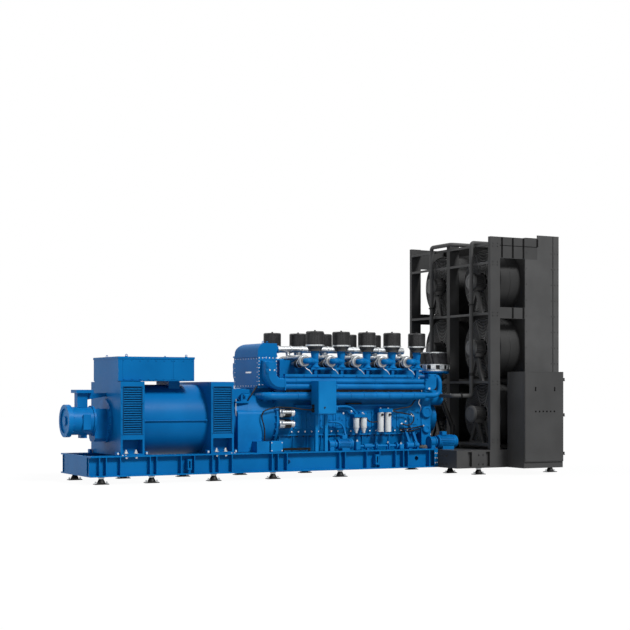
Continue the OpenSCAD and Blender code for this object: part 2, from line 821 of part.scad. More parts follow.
// The charge air cooler: a box, and above its bolted joint a hood rounded at the end and at the far corner.
module charge_air_cooler() {
    end_r = 150;
    far_r = 250;
    hood_l = engine_x - cooler_x;
    lip = 20;
    color(blue) from_skid_end() {
        translate([cooler_x, -cooler_y, cooler_z]) cube([hood_l, 2 * cooler_y, cooler_band_z - cooler_z + 1]);
        translate([cooler_x - lip, -cooler_y - lip, cooler_band_z])
            cube([hood_l + lip, 2 * cooler_y + 2 * lip, 30]);
        difference() {
            union() {
                translate([cooler_x, -cooler_y, cooler_band_z])
                    cube([hood_l, 2 * cooler_y, cooler_z1 - cooler_band_z - end_r]);
                translate([cooler_x + end_r, -cooler_y, cooler_z1 - end_r - 1])
                    cube([hood_l - end_r, 2 * cooler_y, end_r + 1]);
                intersection() {
                    rod_y([cooler_x + end_r, -cooler_y, cooler_z1 - end_r], end_r, 2 * cooler_y);
                    translate([cooler_x, -cooler_y, cooler_z1 - end_r - 1])
                        cube([end_r + 1, 2 * cooler_y, end_r + 1]);
                }
            }
            difference() {
                translate([cooler_x - 1, cooler_y - far_r, cooler_z1 - far_r])
                    cube([hood_l + 2, far_r + 1, far_r + 1]);
                rod_x([cooler_x - 2, cooler_y - far_r, cooler_z1 - far_r], far_r, hood_l + 4);
            }
        }
    }
}

// The flat elbow casting from the cooler's side down to the two upper pipes, with its two flanges.
module cooler_ducts() {
    inner = 85;
    edge = 46;
    flange = 20;
    plate_l = 24;
    axis_x = duct_x + duct_w + inner;
    axis_z = duct_z + duct_w + inner;
    top_z = cooler_z + 471;
    outer = inner + duct_w;
    section = [[inner, 0], [outer, 0], [outer, duct_d - edge], [outer - edge, duct_d],
        [inner + edge / 2, duct_d], [inner, duct_d - edge / 2]];
    color(blue) from_skid_end() both_sides() {
        translate([cooler_x, -cooler_y - flange, cooler_z + 47])
            cube([cooler_l - 10, flange, cooler_band_z - cooler_z - 49]);
        translate([0, 0, axis_z]) linear_extrude(top_z - axis_z)
            polygon([for (p = section) [axis_x - p[0], -cooler_y - p[1]]]);
        along_x(duct_x, duct_w, [[-cooler_y, top_z - 1], [-cooler_y, top_z + 50],
            [-cooler_y - duct_d + edge, top_z], [-cooler_y - duct_d + edge, top_z - 1]]);
        translate([axis_x, -cooler_y, axis_z]) rotate([90, 0, 0]) rotate([0, 0, 180])
            rotate_extrude(angle = 90) polygon(section);
        along_x(axis_x, pipe_x - plate_l - axis_x, [for (p = section) [-cooler_y - p[1], axis_z - p[0]]]);
        translate([pipe_x - plate_l, -cooler_y - duct_d - 6, duct_z - 8])
            cube([plate_l, duct_d - 60, duct_w + 16]);
    }
}

// The exhaust pipes of a bank: a manifold with a port to each head, two pipes above it under a rail, and
// at the front the block and the bend that lead them to the exhaust pipe.
module side_pipes() {
    turn = 130;
    turn_x = cooler_x + 90;
    end_x = pipe_x + pipe_l;
    port_r = pipe_y * sin(bank_tilt) + (manifold_z - shaft_z) * cos(bank_tilt);
    port = bank(port_r, head_y + touch_fit);
    rail_z = top_pipe_z + 80;
    knee_y = 144;
    knee_l = 253;
    knee_r = 100;
    knee_in = 70;
    rail_short = 270;
    port_tube = 30;
    rise_x = end_x + knee_l + 115;
    rise_z = exhaust_z + 96;
    color(blue) from_skid_end() both_sides() {
        difference() {
            union() {
                pipe_run([[end_x, -pipe_y, manifold_z], [turn_x, -pipe_y, manifold_z],
                    [turn_x, -300 - touch_fit, manifold_z]], manifold_r, turn);
                pipe_run([[end_x - 30, -pipe_y, manifold_z + 12], [rise_x, -pipe_y, manifold_z + 12],
                    [rise_x, -pipe_y, rise_z], [rise_x, 0, rise_z]], riser_r, turn);
                rod_y([end_x + 162, -pipe_y, exhaust_z + 50], 85, pipe_y);
            }
            rod_x([fly_x, 0, shaft_z], fly_r + touch_fit, fly_l);
            rod_x([block_x1, 0, exhaust_z], exhaust_r + touch_fit, exhaust_x - exhaust_bend - block_x1);
        }
        for (i = [0 : cyl_n - 1]) {
            x = engine_mid + (i - cyl_n / 2 + 0.5) * cyl_pitch;
            pipe([x, -pipe_y, manifold_z], [x, port[0], port[1]], port_tube);
            rod_x([x - cyl_pitch / 2, -pipe_y, manifold_z], manifold_r + 6, 24);
        }
        rod_x([pipe_x, -pipe_y, mid_pipe_z], mid_pipe_r, pipe_l + 1);
        rod_x([pipe_x, -pipe_y, top_pipe_z], top_pipe_r, pipe_l + 1);
        for (x = [pipe_x + 235 : 3 * cyl_pitch : end_x]) {
            rod_x([x, -pipe_y, mid_pipe_z], mid_pipe_r + 5, 24);
            rod_x([x, -pipe_y, top_pipe_z], top_pipe_r + 5, 24);
        }
        translate([pipe_x, -pipe_y - 10, top_pipe_z])
            cube([pipe_l - rail_short, 20, rail_z - top_pipe_z + 1]);
        translate([pipe_x, -pipe_y - 36, rail_z]) cube([pipe_l - rail_short, 76, 49]);
        difference() {
            union() {
                translate([end_x, -pipe_y - knee_y / 2, duct_z]) cube([knee_l, knee_y, duct_w]);
                translate([end_x + knee_in, -pipe_y - knee_y / 2, duct_z])
                    cube([knee_l - knee_in, knee_y, duct_w + 93]);
            }
            difference() {
                translate([end_x + knee_l - knee_r, -pipe_y - knee_y, duct_z - 1])
                    cube([knee_r + 1, 2 * knee_y, knee_r + 1]);
                rod_y([end_x + knee_l - knee_r, -pipe_y - 2 * knee_y, duct_z + knee_r], knee_r, 4 * knee_y);
            }
        }
    }
}

module exhaust_pipe() {
    color(dark_blue) from_skid_end() {
        rod_x([block_x1, 0, exhaust_z], exhaust_r, exhaust_x - exhaust_bend - block_x1);
        translate([exhaust_x - exhaust_bend, 0, bellows_z]) rotate([90, 0, 0]) rotate([0, 0, -90])
            rotate_extrude(angle = 90) translate([exhaust_bend, 0]) circle(r = exhaust_r);
        translate([exhaust_x, 0, bellows_z - 30]) cylinder(r = bellows_r, h = 30);
    }
}

// The exhaust bellows: a cone of rounded folds between two flanges.
module exhaust_bellows() {
    folds = 9;
    top_r = bellows_r - 45;
    bore_r = exhaust_r;
    step = (bellows_h - 60) / folds;
    outline = concat([[bore_r, 0], [bellows_r, 0], [bellows_r, 30]],
        [for (i = [0 : folds - 1], s = [0.25, 0.75])
            [bellows_r - 22 - (bellows_r - top_r) * i / folds - (s < 0.5 ? 0 : 26), 30 + (i + s) * step]],
        [[top_r, bellows_h - 30], [top_r, bellows_h], [bore_r, bellows_h]]);
    color(black) from_skid_end() translate([exhaust_x, 0, bellows_z]) rotate_extrude() polygon(outline);
}

// The gear case with the vibration damper's cover and the two coolant pumps before it.
module front_gear_case() {
    color(blue) from_skid_end() {
        translate([block_x1, -gear_y, pan_z - 250]) cube([gear_l, 2 * gear_y, 1010]);
        rod_x([gear_x1 - 1, 0, shaft_z], 311, 261);
        for (s = [-1, 1]) rod_x([block_x1, s * boss_y, boss_z], boss_r, boss_x1 - block_x1);
    }
}

module starters() {
    r = 78;
    color(silver) from_skid_end()
        for (z = [shaft_z - 85, shaft_z + 118]) {
            rod_x([engine_x, -block_y - 100, z], r, 220);
            rod_x([engine_x + 219, -block_y - 100, z], r - 12, 90);
            rod_x([engine_x + 20, -block_y - 100 - r - 20, z + 20], 34, 190);
        }
}

module canister_filters() {
    color(white) from_skid_end() {
        for (i = [0, 1]) {
            translate([oil_x + i * canister_pitch, -canister_y, oil_z]) cylinder(r = canister_r, h = oil_h);
            translate([fuel_x + i * canister_pitch, -canister_y, fuel_z])
                cylinder(r = canister_r - 6, h = fuel_h);
        }
    }
}

module filter_brackets() {
    color(blue) from_skid_end() {
        translate([oil_x - 70, -canister_y - canister_r, oil_z + oil_h])
            cube([canister_pitch + 140, canister_y + canister_r - block_y, 70]);
        translate([fuel_x - 70, -canister_y - canister_r, fuel_z + fuel_h])
            cube([canister_pitch + 140, canister_y + canister_r - block_y, 60]);
    }
}

// An open sheet box, its mouth towards -Y.
module open_box(w, d, h, t) {
    difference() {
        cube([w, d, h]);
        translate([t, -1, t]) cube([w - 2 * t, d - t + 1, h - 2 * t]);
    }
}

// Hinge arms on a box: each carries an upright pin. The box's door would start at the origin.
module hinge_arms(w, zs) {
    for (z = zs) {
        translate([w - 1, door_t / 2 - hinge_wall, z]) cube([pin_off + 1 + hinge_wall, arm_d, arm_t]);
        translate([w + pin_off, door_t / 2, z]) cylinder(r = hinge_r, h = arm_t + knuckle_h);
    }
}

// A door leaf with a knuckle on each pin.
module hung_door(w, h, zs) {
    leaf_w = w + pin_off - leaf_gap;
    difference() {
        union() {
            cube([leaf_w, door_t, h]);
            for (z = zs) translate([0, 0, z + arm_t + hinge_fit]) {
                translate([w + pin_off, door_t / 2, 0]) cylinder(r = hinge_wall, h = knuckle_h);
                translate([leaf_w - 1, door_t / 2 - 5, 0]) cube([leaf_gap, 10, knuckle_h]);
            }
        }
        for (z = zs) translate([w + pin_off, door_t / 2, z])
            cylinder(r = hinge_r + hinge_fit, h = arm_t + knuckle_h + 20);
    }
}

module control_box() {
    color(blue) from_skid_end() translate([box_x, box_y, box_z]) {
        translate([0, door_t + door_gap, 0]) open_box(box_w, box_d - door_t - door_gap, box_h, sheet_t);
        hinge_arms(box_w, box_hinges);
    }
}

module control_box_door() {
    color(blue) from_skid_end() translate([box_x, box_y, box_z]) hung_door(box_w, box_h, box_hinges);
}

module control_box_stand() {
    leg = 60;
    color(dark_blue) from_skid_end() {
        for (x = [box_x + 70, box_x + box_w - 110])
            translate([x, -rail_y - 90, deck_z]) cube([leg, leg, box_z - deck_z - 20]);
        translate([box_x + 20, box_y + box_d - 220, box_z - 20]) cube([box_w - 40, 220, 20]);
    }
}

module junction_box() {
    color(blue) from_skid_end() {
        translate([engine_x - 262, -rail_y - 90, deck_z]) cube([230, 120, 205]);
        translate([engine_x - 267, -rail_y - 98, deck_z + 12]) cube([240, 20, 181]);
    }
}

// A motor and pump on one foot, the shaft along X.
module motor_pump(x, z, motor_l, r, foot_z) {
    rod_x([x, -rail_y, z], r, motor_l);
    rod_x([x - 60, -rail_y, z], r * 0.55, 61);
    rod_x([x - 190, -rail_y, z], r * 0.8, 131);
    translate([x - 170, -rail_y - r * 0.6, deck_z]) cube([90, r * 1.2, z - deck_z]);
    translate([x + 80, -rail_y - r * 0.8, foot_z]) cube([motor_l - 160, r * 1.6, z - foot_z]);
}

module service_pumps() {
    color(blue) from_skid_end() {
        motor_pump(engine_x + 1158, deck_z + 120, 320, 92, deck_z);
        motor_pump(skid_l + 40, deck_z + 132, 420, 120, rad_z);
    }
}

module radiator_posts() {
    color(black) from_skid_end() {
        both_sides() translate([post_x, -rad_y, rad_z]) cube([post_d, post_w, post_h]);
        translate([post_x, -mid_post_y, rad_z]) cube([post_d, 2 * mid_post_y, post_h]);
    }
}

module radiator_beams() {
    color(black) from_skid_end() both_sides()
        for (z = beam_zs)
            along_y(-rad_y + post_w, rad_y - post_w - mid_post_y, [[post_x, z - 45], [post_x + 10, z - 45],
                [post_x + 10, z - 12], [post_x1, z - 12], [post_x1, z], [post_x, z]]);
}

module side_girders() {
    color(black) from_skid_end() both_sides() {
        translate([post_x1, -rad_y, girder_z]) cube([panel_step_x - post_x1, panel_t, frame_top - girder_z]);
        translate([post_x1, -rad_y, mid_girder_z]) cube([core_x - post_x1, panel_t, mid_girder_h]);
    }
}

module side_panels() {
    color(black) from_skid_end() both_sides()
        along_y(-rad_y, panel_t, [[core_x, rad_z], [rad_x1, rad_z], [rad_x1, panel_top],
            [panel_step_x, panel_top], [panel_step_x, girder_z], [core_x, girder_z]]);
}

module radiator_core() {
    y = rad_y - panel_t;
    color(black) from_skid_end() translate([core_x + 24, -y, rad_z])
        cube([rad_x1 - core_x - 50, 2 * y, core_top - rad_z]);
}

// A fan shroud: a sheet before the core, from the frame's middle to its side, and a rolled ring on it.
module fan_shroud(i) {
    sheet_x = core_x - ring_t;
    z0 = i == 0 ? rad_z : fan_zs[i] - fan_pitch / 2 + shroud_fit;
    difference() {
        translate([sheet_x, -rad_y + panel_t, z0])
            cube([ring_t, rad_y - panel_t, fan_zs[i] + fan_pitch / 2 - z0]);
        rod_x([sheet_x - 1, -fan_y, fan_zs[i]], ring_r, ring_t + 2);
    }
    difference() {
        rod_x([ring_x, -fan_y, fan_zs[i]], ring_r + ring_t, sheet_x - shroud_fit - ring_x);
        rod_x([ring_x - 1, -fan_y, fan_zs[i]], ring_r, sheet_x - ring_x + 2);
    }
}

module fan_shrouds_near() {
    color(black) from_skid_end() for (i = [0 : 2]) fan_shroud(i);
}

module fan_shrouds_far() {
    color(black) from_skid_end() mirror([0, 1, 0]) for (i = [0 : 2]) fan_shroud(i);
}

// A fan guard: flat spokes across the mouth of the fan ring, apart from each other round the shaft.
module fan_guard(z) {
    spokes = 8;
    bar = 10;
    hole_r = motor_shaft_r + 30;
    translate([guard_x, -fan_y, z]) for (i = [0 : spokes - 1])
        rotate([(i + 0.5) * 360 / spokes, 0, 0]) translate([0, hole_r, -bar / 2])
            cube([guard_t, ring_r + ring_t - hole_r, bar]);
}

module fan_guards() {
    color(black) from_skid_end() both_sides() for (z = fan_zs) fan_guard(z);
}

// A fan motor: ribbed body, foot block and the shaft that carries the fan.
module fan_motor(z) {
    fins = 24;
    translate([motor_x, -fan_y, z]) rotate([0, 90, 0]) {
        cylinder(r = motor_r, h = 50);
        translate([0, 0, 49]) linear_extrude(motor_l - 88) ribbed_outline(motor_r - 4, fins, 14);
        translate([0, 0, motor_l - 40]) cylinder(r = motor_r, h = 40);
        translate([0, 0, motor_l - 1]) cylinder(r = motor_shaft_r, h = fan_x - motor_x1 + fan_l - 20);
    }
    translate([motor_x + 30, -fan_y - 110, z - motor_r - foot_drop])
        cube([motor_l - 60, 220, motor_r]);
}

module fan_motors() {
    color(black) from_skid_end() both_sides() for (z = fan_zs) fan_motor(z);
}

// An open A-shaped pedestal between a beam and a motor foot.
module fan_pedestals() {
    t = 56;
    base = 226;
    top = 60;
    leg = 90;
    sill = 40;
    x = post_x1 - t - 4;
    color(black) from_skid_end() both_sides() for (i = [0 : 2]) {
        z0 = beam_zs[i];
        z1 = fan_zs[i] - motor_r - foot_drop;
        translate([0, -fan_y, 0]) difference() {
            along_x(x, t, [[-base, z0], [base, z0], [top, z1], [-top, z1]]);
            along_x(x - 1, t + 2, [[leg - base, z0 + sill], [base - leg, z0 + sill], [0, z1 - 70]]);
        }
    }
}

// A fan: hub with its shaft bore and pitched blades.
module fan(side, i) {
    tip = ring_r - blade_gap;
    color(black) from_skid_end() translate([fan_x, side * fan_y, fan_zs[i]]) rotate([0, 90, 0]) {
        difference() {
            cylinder(r = hub_r, h = fan_l);
            translate([0, 0, -1]) cylinder(r = motor_shaft_r + hub_fit, h = fan_l - 18);
        }
        for (k = [0 : blades - 1]) rotate([0, 0, k * 360 / blades])
            translate([hub_r - 12, 0, fan_l / 2]) rotate([28, 0, 0]) translate([0, -75, -5])
                cube([tip - hub_r, 150, 10]);
    }
}

module fan_near_low() { fan(-1, 0); }
module fan_near_mid() { fan(-1, 1); }
module fan_near_high() { fan(-1, 2); }
module fan_far_low() { fan(1, 0); }
module fan_far_mid() { fan(1, 1); }
module fan_far_high() { fan(1, 2); }

module cabinet() {
    color(black) from_skid_end() translate([cab_x, cab_y, foot_h]) {
        translate([0, door_t + door_gap, 0]) difference() {
            cube([cab_w, cab_d - door_t - door_gap, cab_h]);
            translate([sheet_t, -1, plinth_h + sheet_t])
                cube([cab_w - 2 * sheet_t, cab_d - door_t - door_gap - sheet_t + 1,
                    cab_h - plinth_h - 2 * sheet_t]);
        }
        translate([0, 0, plinth_h]) hinge_arms(cab_w, cab_hinges);
    }
}

module cabinet_door() {
    color(black) from_skid_end() translate([cab_x, cab_y, foot_h + plinth_h])
        hung_door(cab_w, cab_h - plinth_h, cab_hinges);
}

// The two coolant risers, from the pumps up the engine side of the radiator and over its fans to the core.
module coolant_pipes() {
    z = boss_z + 38;
    cross_x = gear_x1 + 240;
    side_x = boss_x1 + 181;
    riser_x = post_x - 68;
    near_y = -gear_y - 416;
    far_y = gear_y + 10;
    far_end_y = -200;
    end_x = core_x + 24;
    near_top = frame_top - 81;
    far_top = frame_top - 50;
    bend = 62;
    color(black) from_skid_end() {
        difference() {
            pipe_run([[cross_x, -boss_y, z], [cross_x, near_y, z], [riser_x, near_y, z],
                [riser_x, near_y, near_top], [end_x, near_y, near_top]], coolant_r, bend);
            rod_x([gear_x1, -boss_y, boss_z], boss_r + touch_fit, boss_x1 - gear_x1 + 1);
        }
        pipe_run([[boss_x1, boss_y - 40, boss_z], [side_x, boss_y - 40, boss_z], [side_x, far_y, boss_z],
            [riser_x, far_y, boss_z], [riser_x, far_y, far_top], [riser_x, far_end_y, far_top],
            [end_x, far_end_y, far_top]], coolant_r, bend);
    }
}

// The return hose, from the near coolant pump slanting down to the radiator's base.
module lower_hose() {
    r = 48;
    y = -boss_y - 40;
    cuff = r + 5;
    knee_a = [boss_x1 + 60, y, boss_z - 60];
    knee_b = [boss_x1 + 290, y, rad_z + 430];
    color(black) from_skid_end() {
        pipe([boss_x1, y, knee_a[2]], knee_a, r);
        translate(knee_a) sphere(r = cuff);
        pipe(knee_a, knee_b, r);
        translate(knee_b) sphere(r = cuff);
        pipe(knee_b, [knee_b[0], y, rad_z], r);
    }
}

skid_rails();
skid_cross_members();
isolators();
radiator_base_girders();
radiator_base_beams();
radiator_deck();
alternator_frames();
alternator_barrel();
alternator_louvres();
alternator_bearing_shield();
exciter();
alternator_brackets();
terminal_box();
flywheel_housing();
crankcase();
oil_pan();
engine_mounts();
cylinder_heads();
turbo_carrier();
turbochargers();
filter_funnels();
air_filters();
charge_air_header();
charge_air_cooler();
cooler_ducts();
side_pipes();
exhaust_pipe();
exhaust_bellows();
front_gear_case();
starters();
canister_filters();
filter_brackets();
control_box();
control_box_door();
control_box_stand();
junction_box();
service_pumps();
radiator_posts();
radiator_beams();
side_girders();
side_panels();
radiator_core();
fan_shrouds_near();
fan_shrouds_far();
fan_guards();
fan_motors();
fan_pedestals();
fan_near_low();
fan_near_mid();
fan_near_high();
fan_far_low();
fan_far_mid();
fan_far_high();
cabinet();
cabinet_door();
coolant_pipes();
lower_hose();
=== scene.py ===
import math

import bpy
from mathutils import Euler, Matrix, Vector


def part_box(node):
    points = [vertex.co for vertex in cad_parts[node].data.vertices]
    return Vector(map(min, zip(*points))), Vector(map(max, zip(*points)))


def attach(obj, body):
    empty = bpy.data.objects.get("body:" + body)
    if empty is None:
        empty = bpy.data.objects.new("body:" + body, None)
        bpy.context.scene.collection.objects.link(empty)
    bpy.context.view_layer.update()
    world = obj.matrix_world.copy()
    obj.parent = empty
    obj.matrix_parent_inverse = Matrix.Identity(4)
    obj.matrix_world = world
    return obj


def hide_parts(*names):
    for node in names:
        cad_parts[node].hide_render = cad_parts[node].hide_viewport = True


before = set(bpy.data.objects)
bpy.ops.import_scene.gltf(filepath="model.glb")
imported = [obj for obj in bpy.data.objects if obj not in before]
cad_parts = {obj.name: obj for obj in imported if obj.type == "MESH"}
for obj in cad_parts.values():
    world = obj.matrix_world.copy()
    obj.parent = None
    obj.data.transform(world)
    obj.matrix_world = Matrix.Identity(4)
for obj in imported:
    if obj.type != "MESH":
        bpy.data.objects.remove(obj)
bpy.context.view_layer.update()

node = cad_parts
scene = bpy.context.scene
scene.view_settings.view_transform = "Standard"

# Camera: a plain lens at eye height, 26 m away, level, with the frame raised by the lens shift.
# It looks along the service side from the alternator's end.
lens = bpy.data.cameras.new("photo_lens")
lens.sensor_width = 36
lens.lens = 79.8
lens.shift_y = 0.12043
lens.clip_end = 200
camera = bpy.data.objects.new("photo_camera", lens)
camera.location = (-11.6755, -23.609, 1.611)
camera.rotation_euler = (math.radians(90), 0, math.radians(-28.159))
scene.collection.objects.link(camera)
scene.camera = camera


# Studio: a white sweep that keeps a faint shadow, an even white surround, a large soft key from the
# front and the right, and a weak light from behind that draws the far edges.
def linear(code):
    """An sRGB hex colour as the linear colour that a shader takes."""
    parts = [int(code[i:i + 2], 16) / 255 for i in (1, 3, 5)]
    return [c / 12.92 if c < 0.04045 else ((c + 0.055) / 1.055) ** 2.4 for c in parts] + [1]


def add(tree, kind, settings, links):
    """Adds one node, gives it its settings, and links other nodes' outputs to its sockets."""
    made = tree.nodes.new(kind)
    for key, value in settings.items():
        if isinstance(key, int) or key in made.inputs:
            made.inputs[key].default_value = value
        else:
            setattr(made, key, value)
    for key, source in links.items():
        tree.links.new(source, made.inputs[key])
    return made


def clear_tree(block):
    """Gives a world or a material an empty node tree."""
    block.use_nodes = True
    block.node_tree.nodes.clear()
    return block.node_tree


studio = bpy.data.worlds.new("studio_surround")
scene.world = studio
tree = clear_tree(studio)
path = add(tree, "ShaderNodeLightPath", {}, {})
seen = add(tree, "ShaderNodeMath", {"operation": "MAXIMUM"}, {0: path.outputs["Is Camera Ray"],
           1: path.outputs["Is Glossy Ray"]})
seen = add(tree, "ShaderNodeMath", {"operation": "MAXIMUM"}, {0: seen.outputs[0],
           1: path.outputs["Is Transmission Ray"]})
fill = add(tree, "ShaderNodeBackground", {"Color": linear("#F4F7FB"), "Strength": 0.30}, {})
white = add(tree, "ShaderNodeBackground", {"Color": (1, 1, 1, 1), "Strength": 1.0}, {})
both = add(tree, "ShaderNodeMixShader", {}, {0: seen.outputs[0], 1: fill.outputs[0], 2: white.outputs[0]})
add(tree, "ShaderNodeOutputWorld", {}, {"Surface": both.outputs[0]})

for name, strength, angle, aim in (("key_light", 2.6, 14, (-0.22, 0.70, -0.68)),
                                   ("rim_light", 0.75, 30, (0.75, -0.40, -0.55))):
    lamp = bpy.data.lights.new(name, "SUN")
    lamp.energy = strength
    lamp.angle = math.radians(angle)
    holder = bpy.data.objects.new(name, lamp)
    holder.rotation_euler = Vector(aim).to_track_quat("-Z", "Y").to_euler()
    scene.collection.objects.link(holder)

bpy.ops.object.select_all(action="DESELECT")
bpy.ops.mesh.primitive_plane_add(size=120, location=(0.8, 0, -0.002))
floor = bpy.context.object
floor.name = "floor"
sweep = bpy.data.materials.new("white_paper_sweep")
tree = clear_tree(sweep)
path = add(tree, "ShaderNodeLightPath", {}, {})
seen = add(tree, "ShaderNodeMath", {"operation": "MAXIMUM"}, {0: path.outputs["Is Camera Ray"],
           1: path.outputs["Is Glossy Ray"]})
share = add(tree, "ShaderNodeMath", {"operation": "MULTIPLY", 1: 0.88}, {0: seen.outputs[0]})
paper = add(tree, "ShaderNodeBsdfDiffuse", {"Color": linear("#B0B0B0")}, {})
glow = add(tree, "ShaderNodeEmission", {"Color": (1, 1, 1, 1), "Strength": 1.085}, {})
both = add(tree, "ShaderNodeMixShader", {}, {0: share.outputs[0], 1: paper.outputs[0], 2: glow.outputs[0]})
add(tree, "ShaderNodeOutputMaterial", {}, {"Surface": both.outputs[0]})
floor.data.materials.append(sweep)


# Skid: two welded plate girders and their cross members in two-part machine enamel, sprayed after
# welding, so the film has a faint orange peel and flows a little thicker here and there.
def finish(name, colours, tone_mm, grain_mm, depth_mm, rough, metal=0.0, specular=0.25):
    """A surface of two near tones in patches of tone_mm, with grain of grain_mm that is depth_mm high."""
    surface = bpy.data.materials.new(name)
    tree = clear_tree(surface)
    place = add(tree, "ShaderNodeTexCoord", {}, {}).outputs["Object"]
    tone = add(tree, "ShaderNodeTexNoise", {"Scale": 1000 / tone_mm, "Detail": 4.0}, {"Vector": place})
    grain = add(tree, "ShaderNodeTexNoise", {"Scale": 1000 / grain_mm, "Detail": 2.0}, {"Vector": place})
    blend = add(tree, "ShaderNodeMapRange", {"From Min": 0.35, "From Max": 0.65}, {"Value": tone.outputs[0]})
    mixed = add(tree, "ShaderNodeMixRGB", {"Color1": linear(colours[0]), "Color2": linear(colours[1])},
                {"Fac": blend.outputs[0]})
    gloss = add(tree, "ShaderNodeMapRange", {"From Min": 0.3, "From Max": 0.7, "To Min": rough - 0.05,
                "To Max": rough + 0.06}, {"Value": grain.outputs[0]})
    bump = add(tree, "ShaderNodeBump", {"Strength": 0.6, "Distance": depth_mm / 1000},
               {"Height": grain.outputs[0]})
    shader = add(tree, "ShaderNodeBsdfPrincipled", {"Metallic": metal, "Specular IOR Level": specular},
                 {"Base Color": mixed.outputs[0], "Roughness": gloss.outputs[0], "Normal": bump.outputs[0]})
    add(tree, "ShaderNodeOutputMaterial", {}, {"Surface": shader.outputs[0]})
    return surface


def dress(surface, *names):
    """Puts one surface on every material slot of the CAD nodes named."""
    for name in names:
        for holder in node[name].material_slots:
            holder.material = surface


def begin():
    """Opens an empty mesh for editing, with nothing else selected."""
    bpy.ops.object.select_all(action="DESELECT")
    bpy.ops.object.add(type="MESH", location=(0, 0, 0))
    bpy.ops.object.mode_set(mode="EDIT")
    bpy.ops.mesh.select_mode(type="EDGE")


def soften(width, sharper=70):
    """Bevels every edge of the open mesh that is sharper than so many degrees."""
    bpy.ops.mesh.select_all(action="DESELECT")
    bpy.ops.mesh.edges_select_sharp(sharpness=math.radians(sharper))
    bpy.ops.mesh.bevel(offset=width, segments=1, affect="EDGES")


def slab(low, high, edge):
    """Adds a block between two corners to the open mesh, with its edges broken."""
    bpy.ops.mesh.primitive_cube_add(size=1, location=[(a + b) / 2 for a, b in zip(low, high)],
                                    scale=[b - a for a, b in zip(low, high)])
    bpy.ops.mesh.bevel(offset=edge, segments=1, affect="EDGES")


def rod(at, turn, radius, length, edge, sides=28):
    """Adds a round bar about a point to the open mesh, turned from upright by degrees, its edges broken."""
    bpy.ops.mesh.primitive_cylinder_add(vertices=sides, radius=radius, depth=length, location=at,
                                        rotation=[math.radians(a) for a in turn])
    soften(edge)


def bolt(at, turn, across, stud=0.0):
    """Adds a hexagon head on its washer at a point, turned from upright, with a stud end past it."""
    up = Euler([math.radians(a) for a in turn]).to_matrix() @ Vector((0, 0, across))
    at = Vector(at)
    rod(at + 0.1 * up, turn, 0.95 * across, 0.2 * across, 0.05 * across, 14)
    rod(at + 0.5 * up, turn, 0.58 * across, 0.62 * across, 0.06 * across, 6)
    if stud:
        rod(at + (0.7 + stud / 2) * up, turn, 0.33 * across, stud * across, 0.06 * across, 10)


def repeat(places):
    """Copies the whole open mesh, which stands at the first place, to each of the others."""
    bpy.ops.mesh.select_all(action="SELECT")
    for before, after in zip(places, places[1:]):
        bpy.ops.mesh.duplicate()
        bpy.ops.transform.translate(value=[b - a for a, b in zip(before, after)])


def far_side():
    """Mirrors a copy of the whole open mesh to the set's far side."""
    bpy.ops.mesh.select_all(action="SELECT")
    bpy.ops.mesh.duplicate()
    bpy.ops.transform.resize(value=(1, -1, 1), center_override=(0, 0, 0))


def settle(name, surface, body="set", angle=35):
    """Closes the open mesh as a piece: normals out, smooth below the angle, its surface and body."""
    bpy.ops.mesh.select_all(action="SELECT")
    bpy.ops.mesh.normals_make_consistent(inside=False)
    bpy.ops.object.mode_set(mode="OBJECT")
    piece = bpy.context.object
    piece.name = name
    piece.data.materials.append(surface)
    bpy.ops.object.shade_smooth_by_angle(angle=math.radians(angle))
    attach(piece, body)
    return piece


# Blue machine enamel on plate: even and satin; the peel is 6 mm in truth, drawn at 30 mm to show here.
blue_plate = finish("blue_enamel_on_plate", ("#0466A6", "#0870B3"), 700, 30, 0.25, 0.36, specular=0.07)
dress(blue_plate, "skid_rails", "skid_cross_members")

begin()
slab((3.150, -0.822, 0.160), (3.2375, -0.800, 0.460), 0.004)
far_side()
settle("skid_splice_plates", blue_plate)

# Bright zinc on the fasteners: a cold white sparkle that reads as a point of light from afar.
zinc = finish("bright_zinc_plate", ("#C4C8CB", "#E2E5E6"), 40, 6, 0.1, 0.30, metal=0.75, specular=0.5)


def bolts(name, places, turn, across, surface=zinc, both=True, stud=0.0):
    """One bolt modelled at the first place and copied to the others, and to the far side as well."""
    begin()
    bolt(places[0], turn, across, stud)
    repeat(places)
    if both:
        far_side()
    settle(name, surface)


# A turn from upright, in degrees, is named for where the bolt's head points: here, to the service side.
outward = (90, 0, 0)
splice = [(x, -0.822, z) for x in (3.172, 3.214) for z in (0.22, 0.31, 0.40)]
bolts("skid_splice_bolts", splice, outward, 0.015)

# Isolators: cast iron bells over rubber, painted black, each on a steel foot plate with two anchors and
# a levelling nut under the skid.
# Black paint over rubber and iron: dull, near black, with a soft edge of light on the bells.
rubber_black = finish("black_rubber_and_iron", ("#101010", "#181818"), 120, 12, 0.4, 0.5)
dress(rubber_black, "isolators")
upright = (0, 0, 0)
feet = [(x, -0.71) for x in (-3.5875, -2.6625, -1.4755, -0.2925, 1.1175, 3.5875)]
feet += [(x, -1.35) for x in (3.8165, 5.5355)]
bolts("isolator_anchors", [(x + s, y, 0.012) for x, y in feet for s in (-0.102, 0.102)], upright, 0.034,
      stud=0.5)
begin()
rod((*feet[0], 0.106), upright, 0.052, 0.020, 0.004, 6)
rod((*feet[0], 0.120), upright, 0.060, 0.008, 0.002, 20)
repeat([(x, y, 0) for x, y in feet])
far_side()
settle("levelling_nuts", zinc)

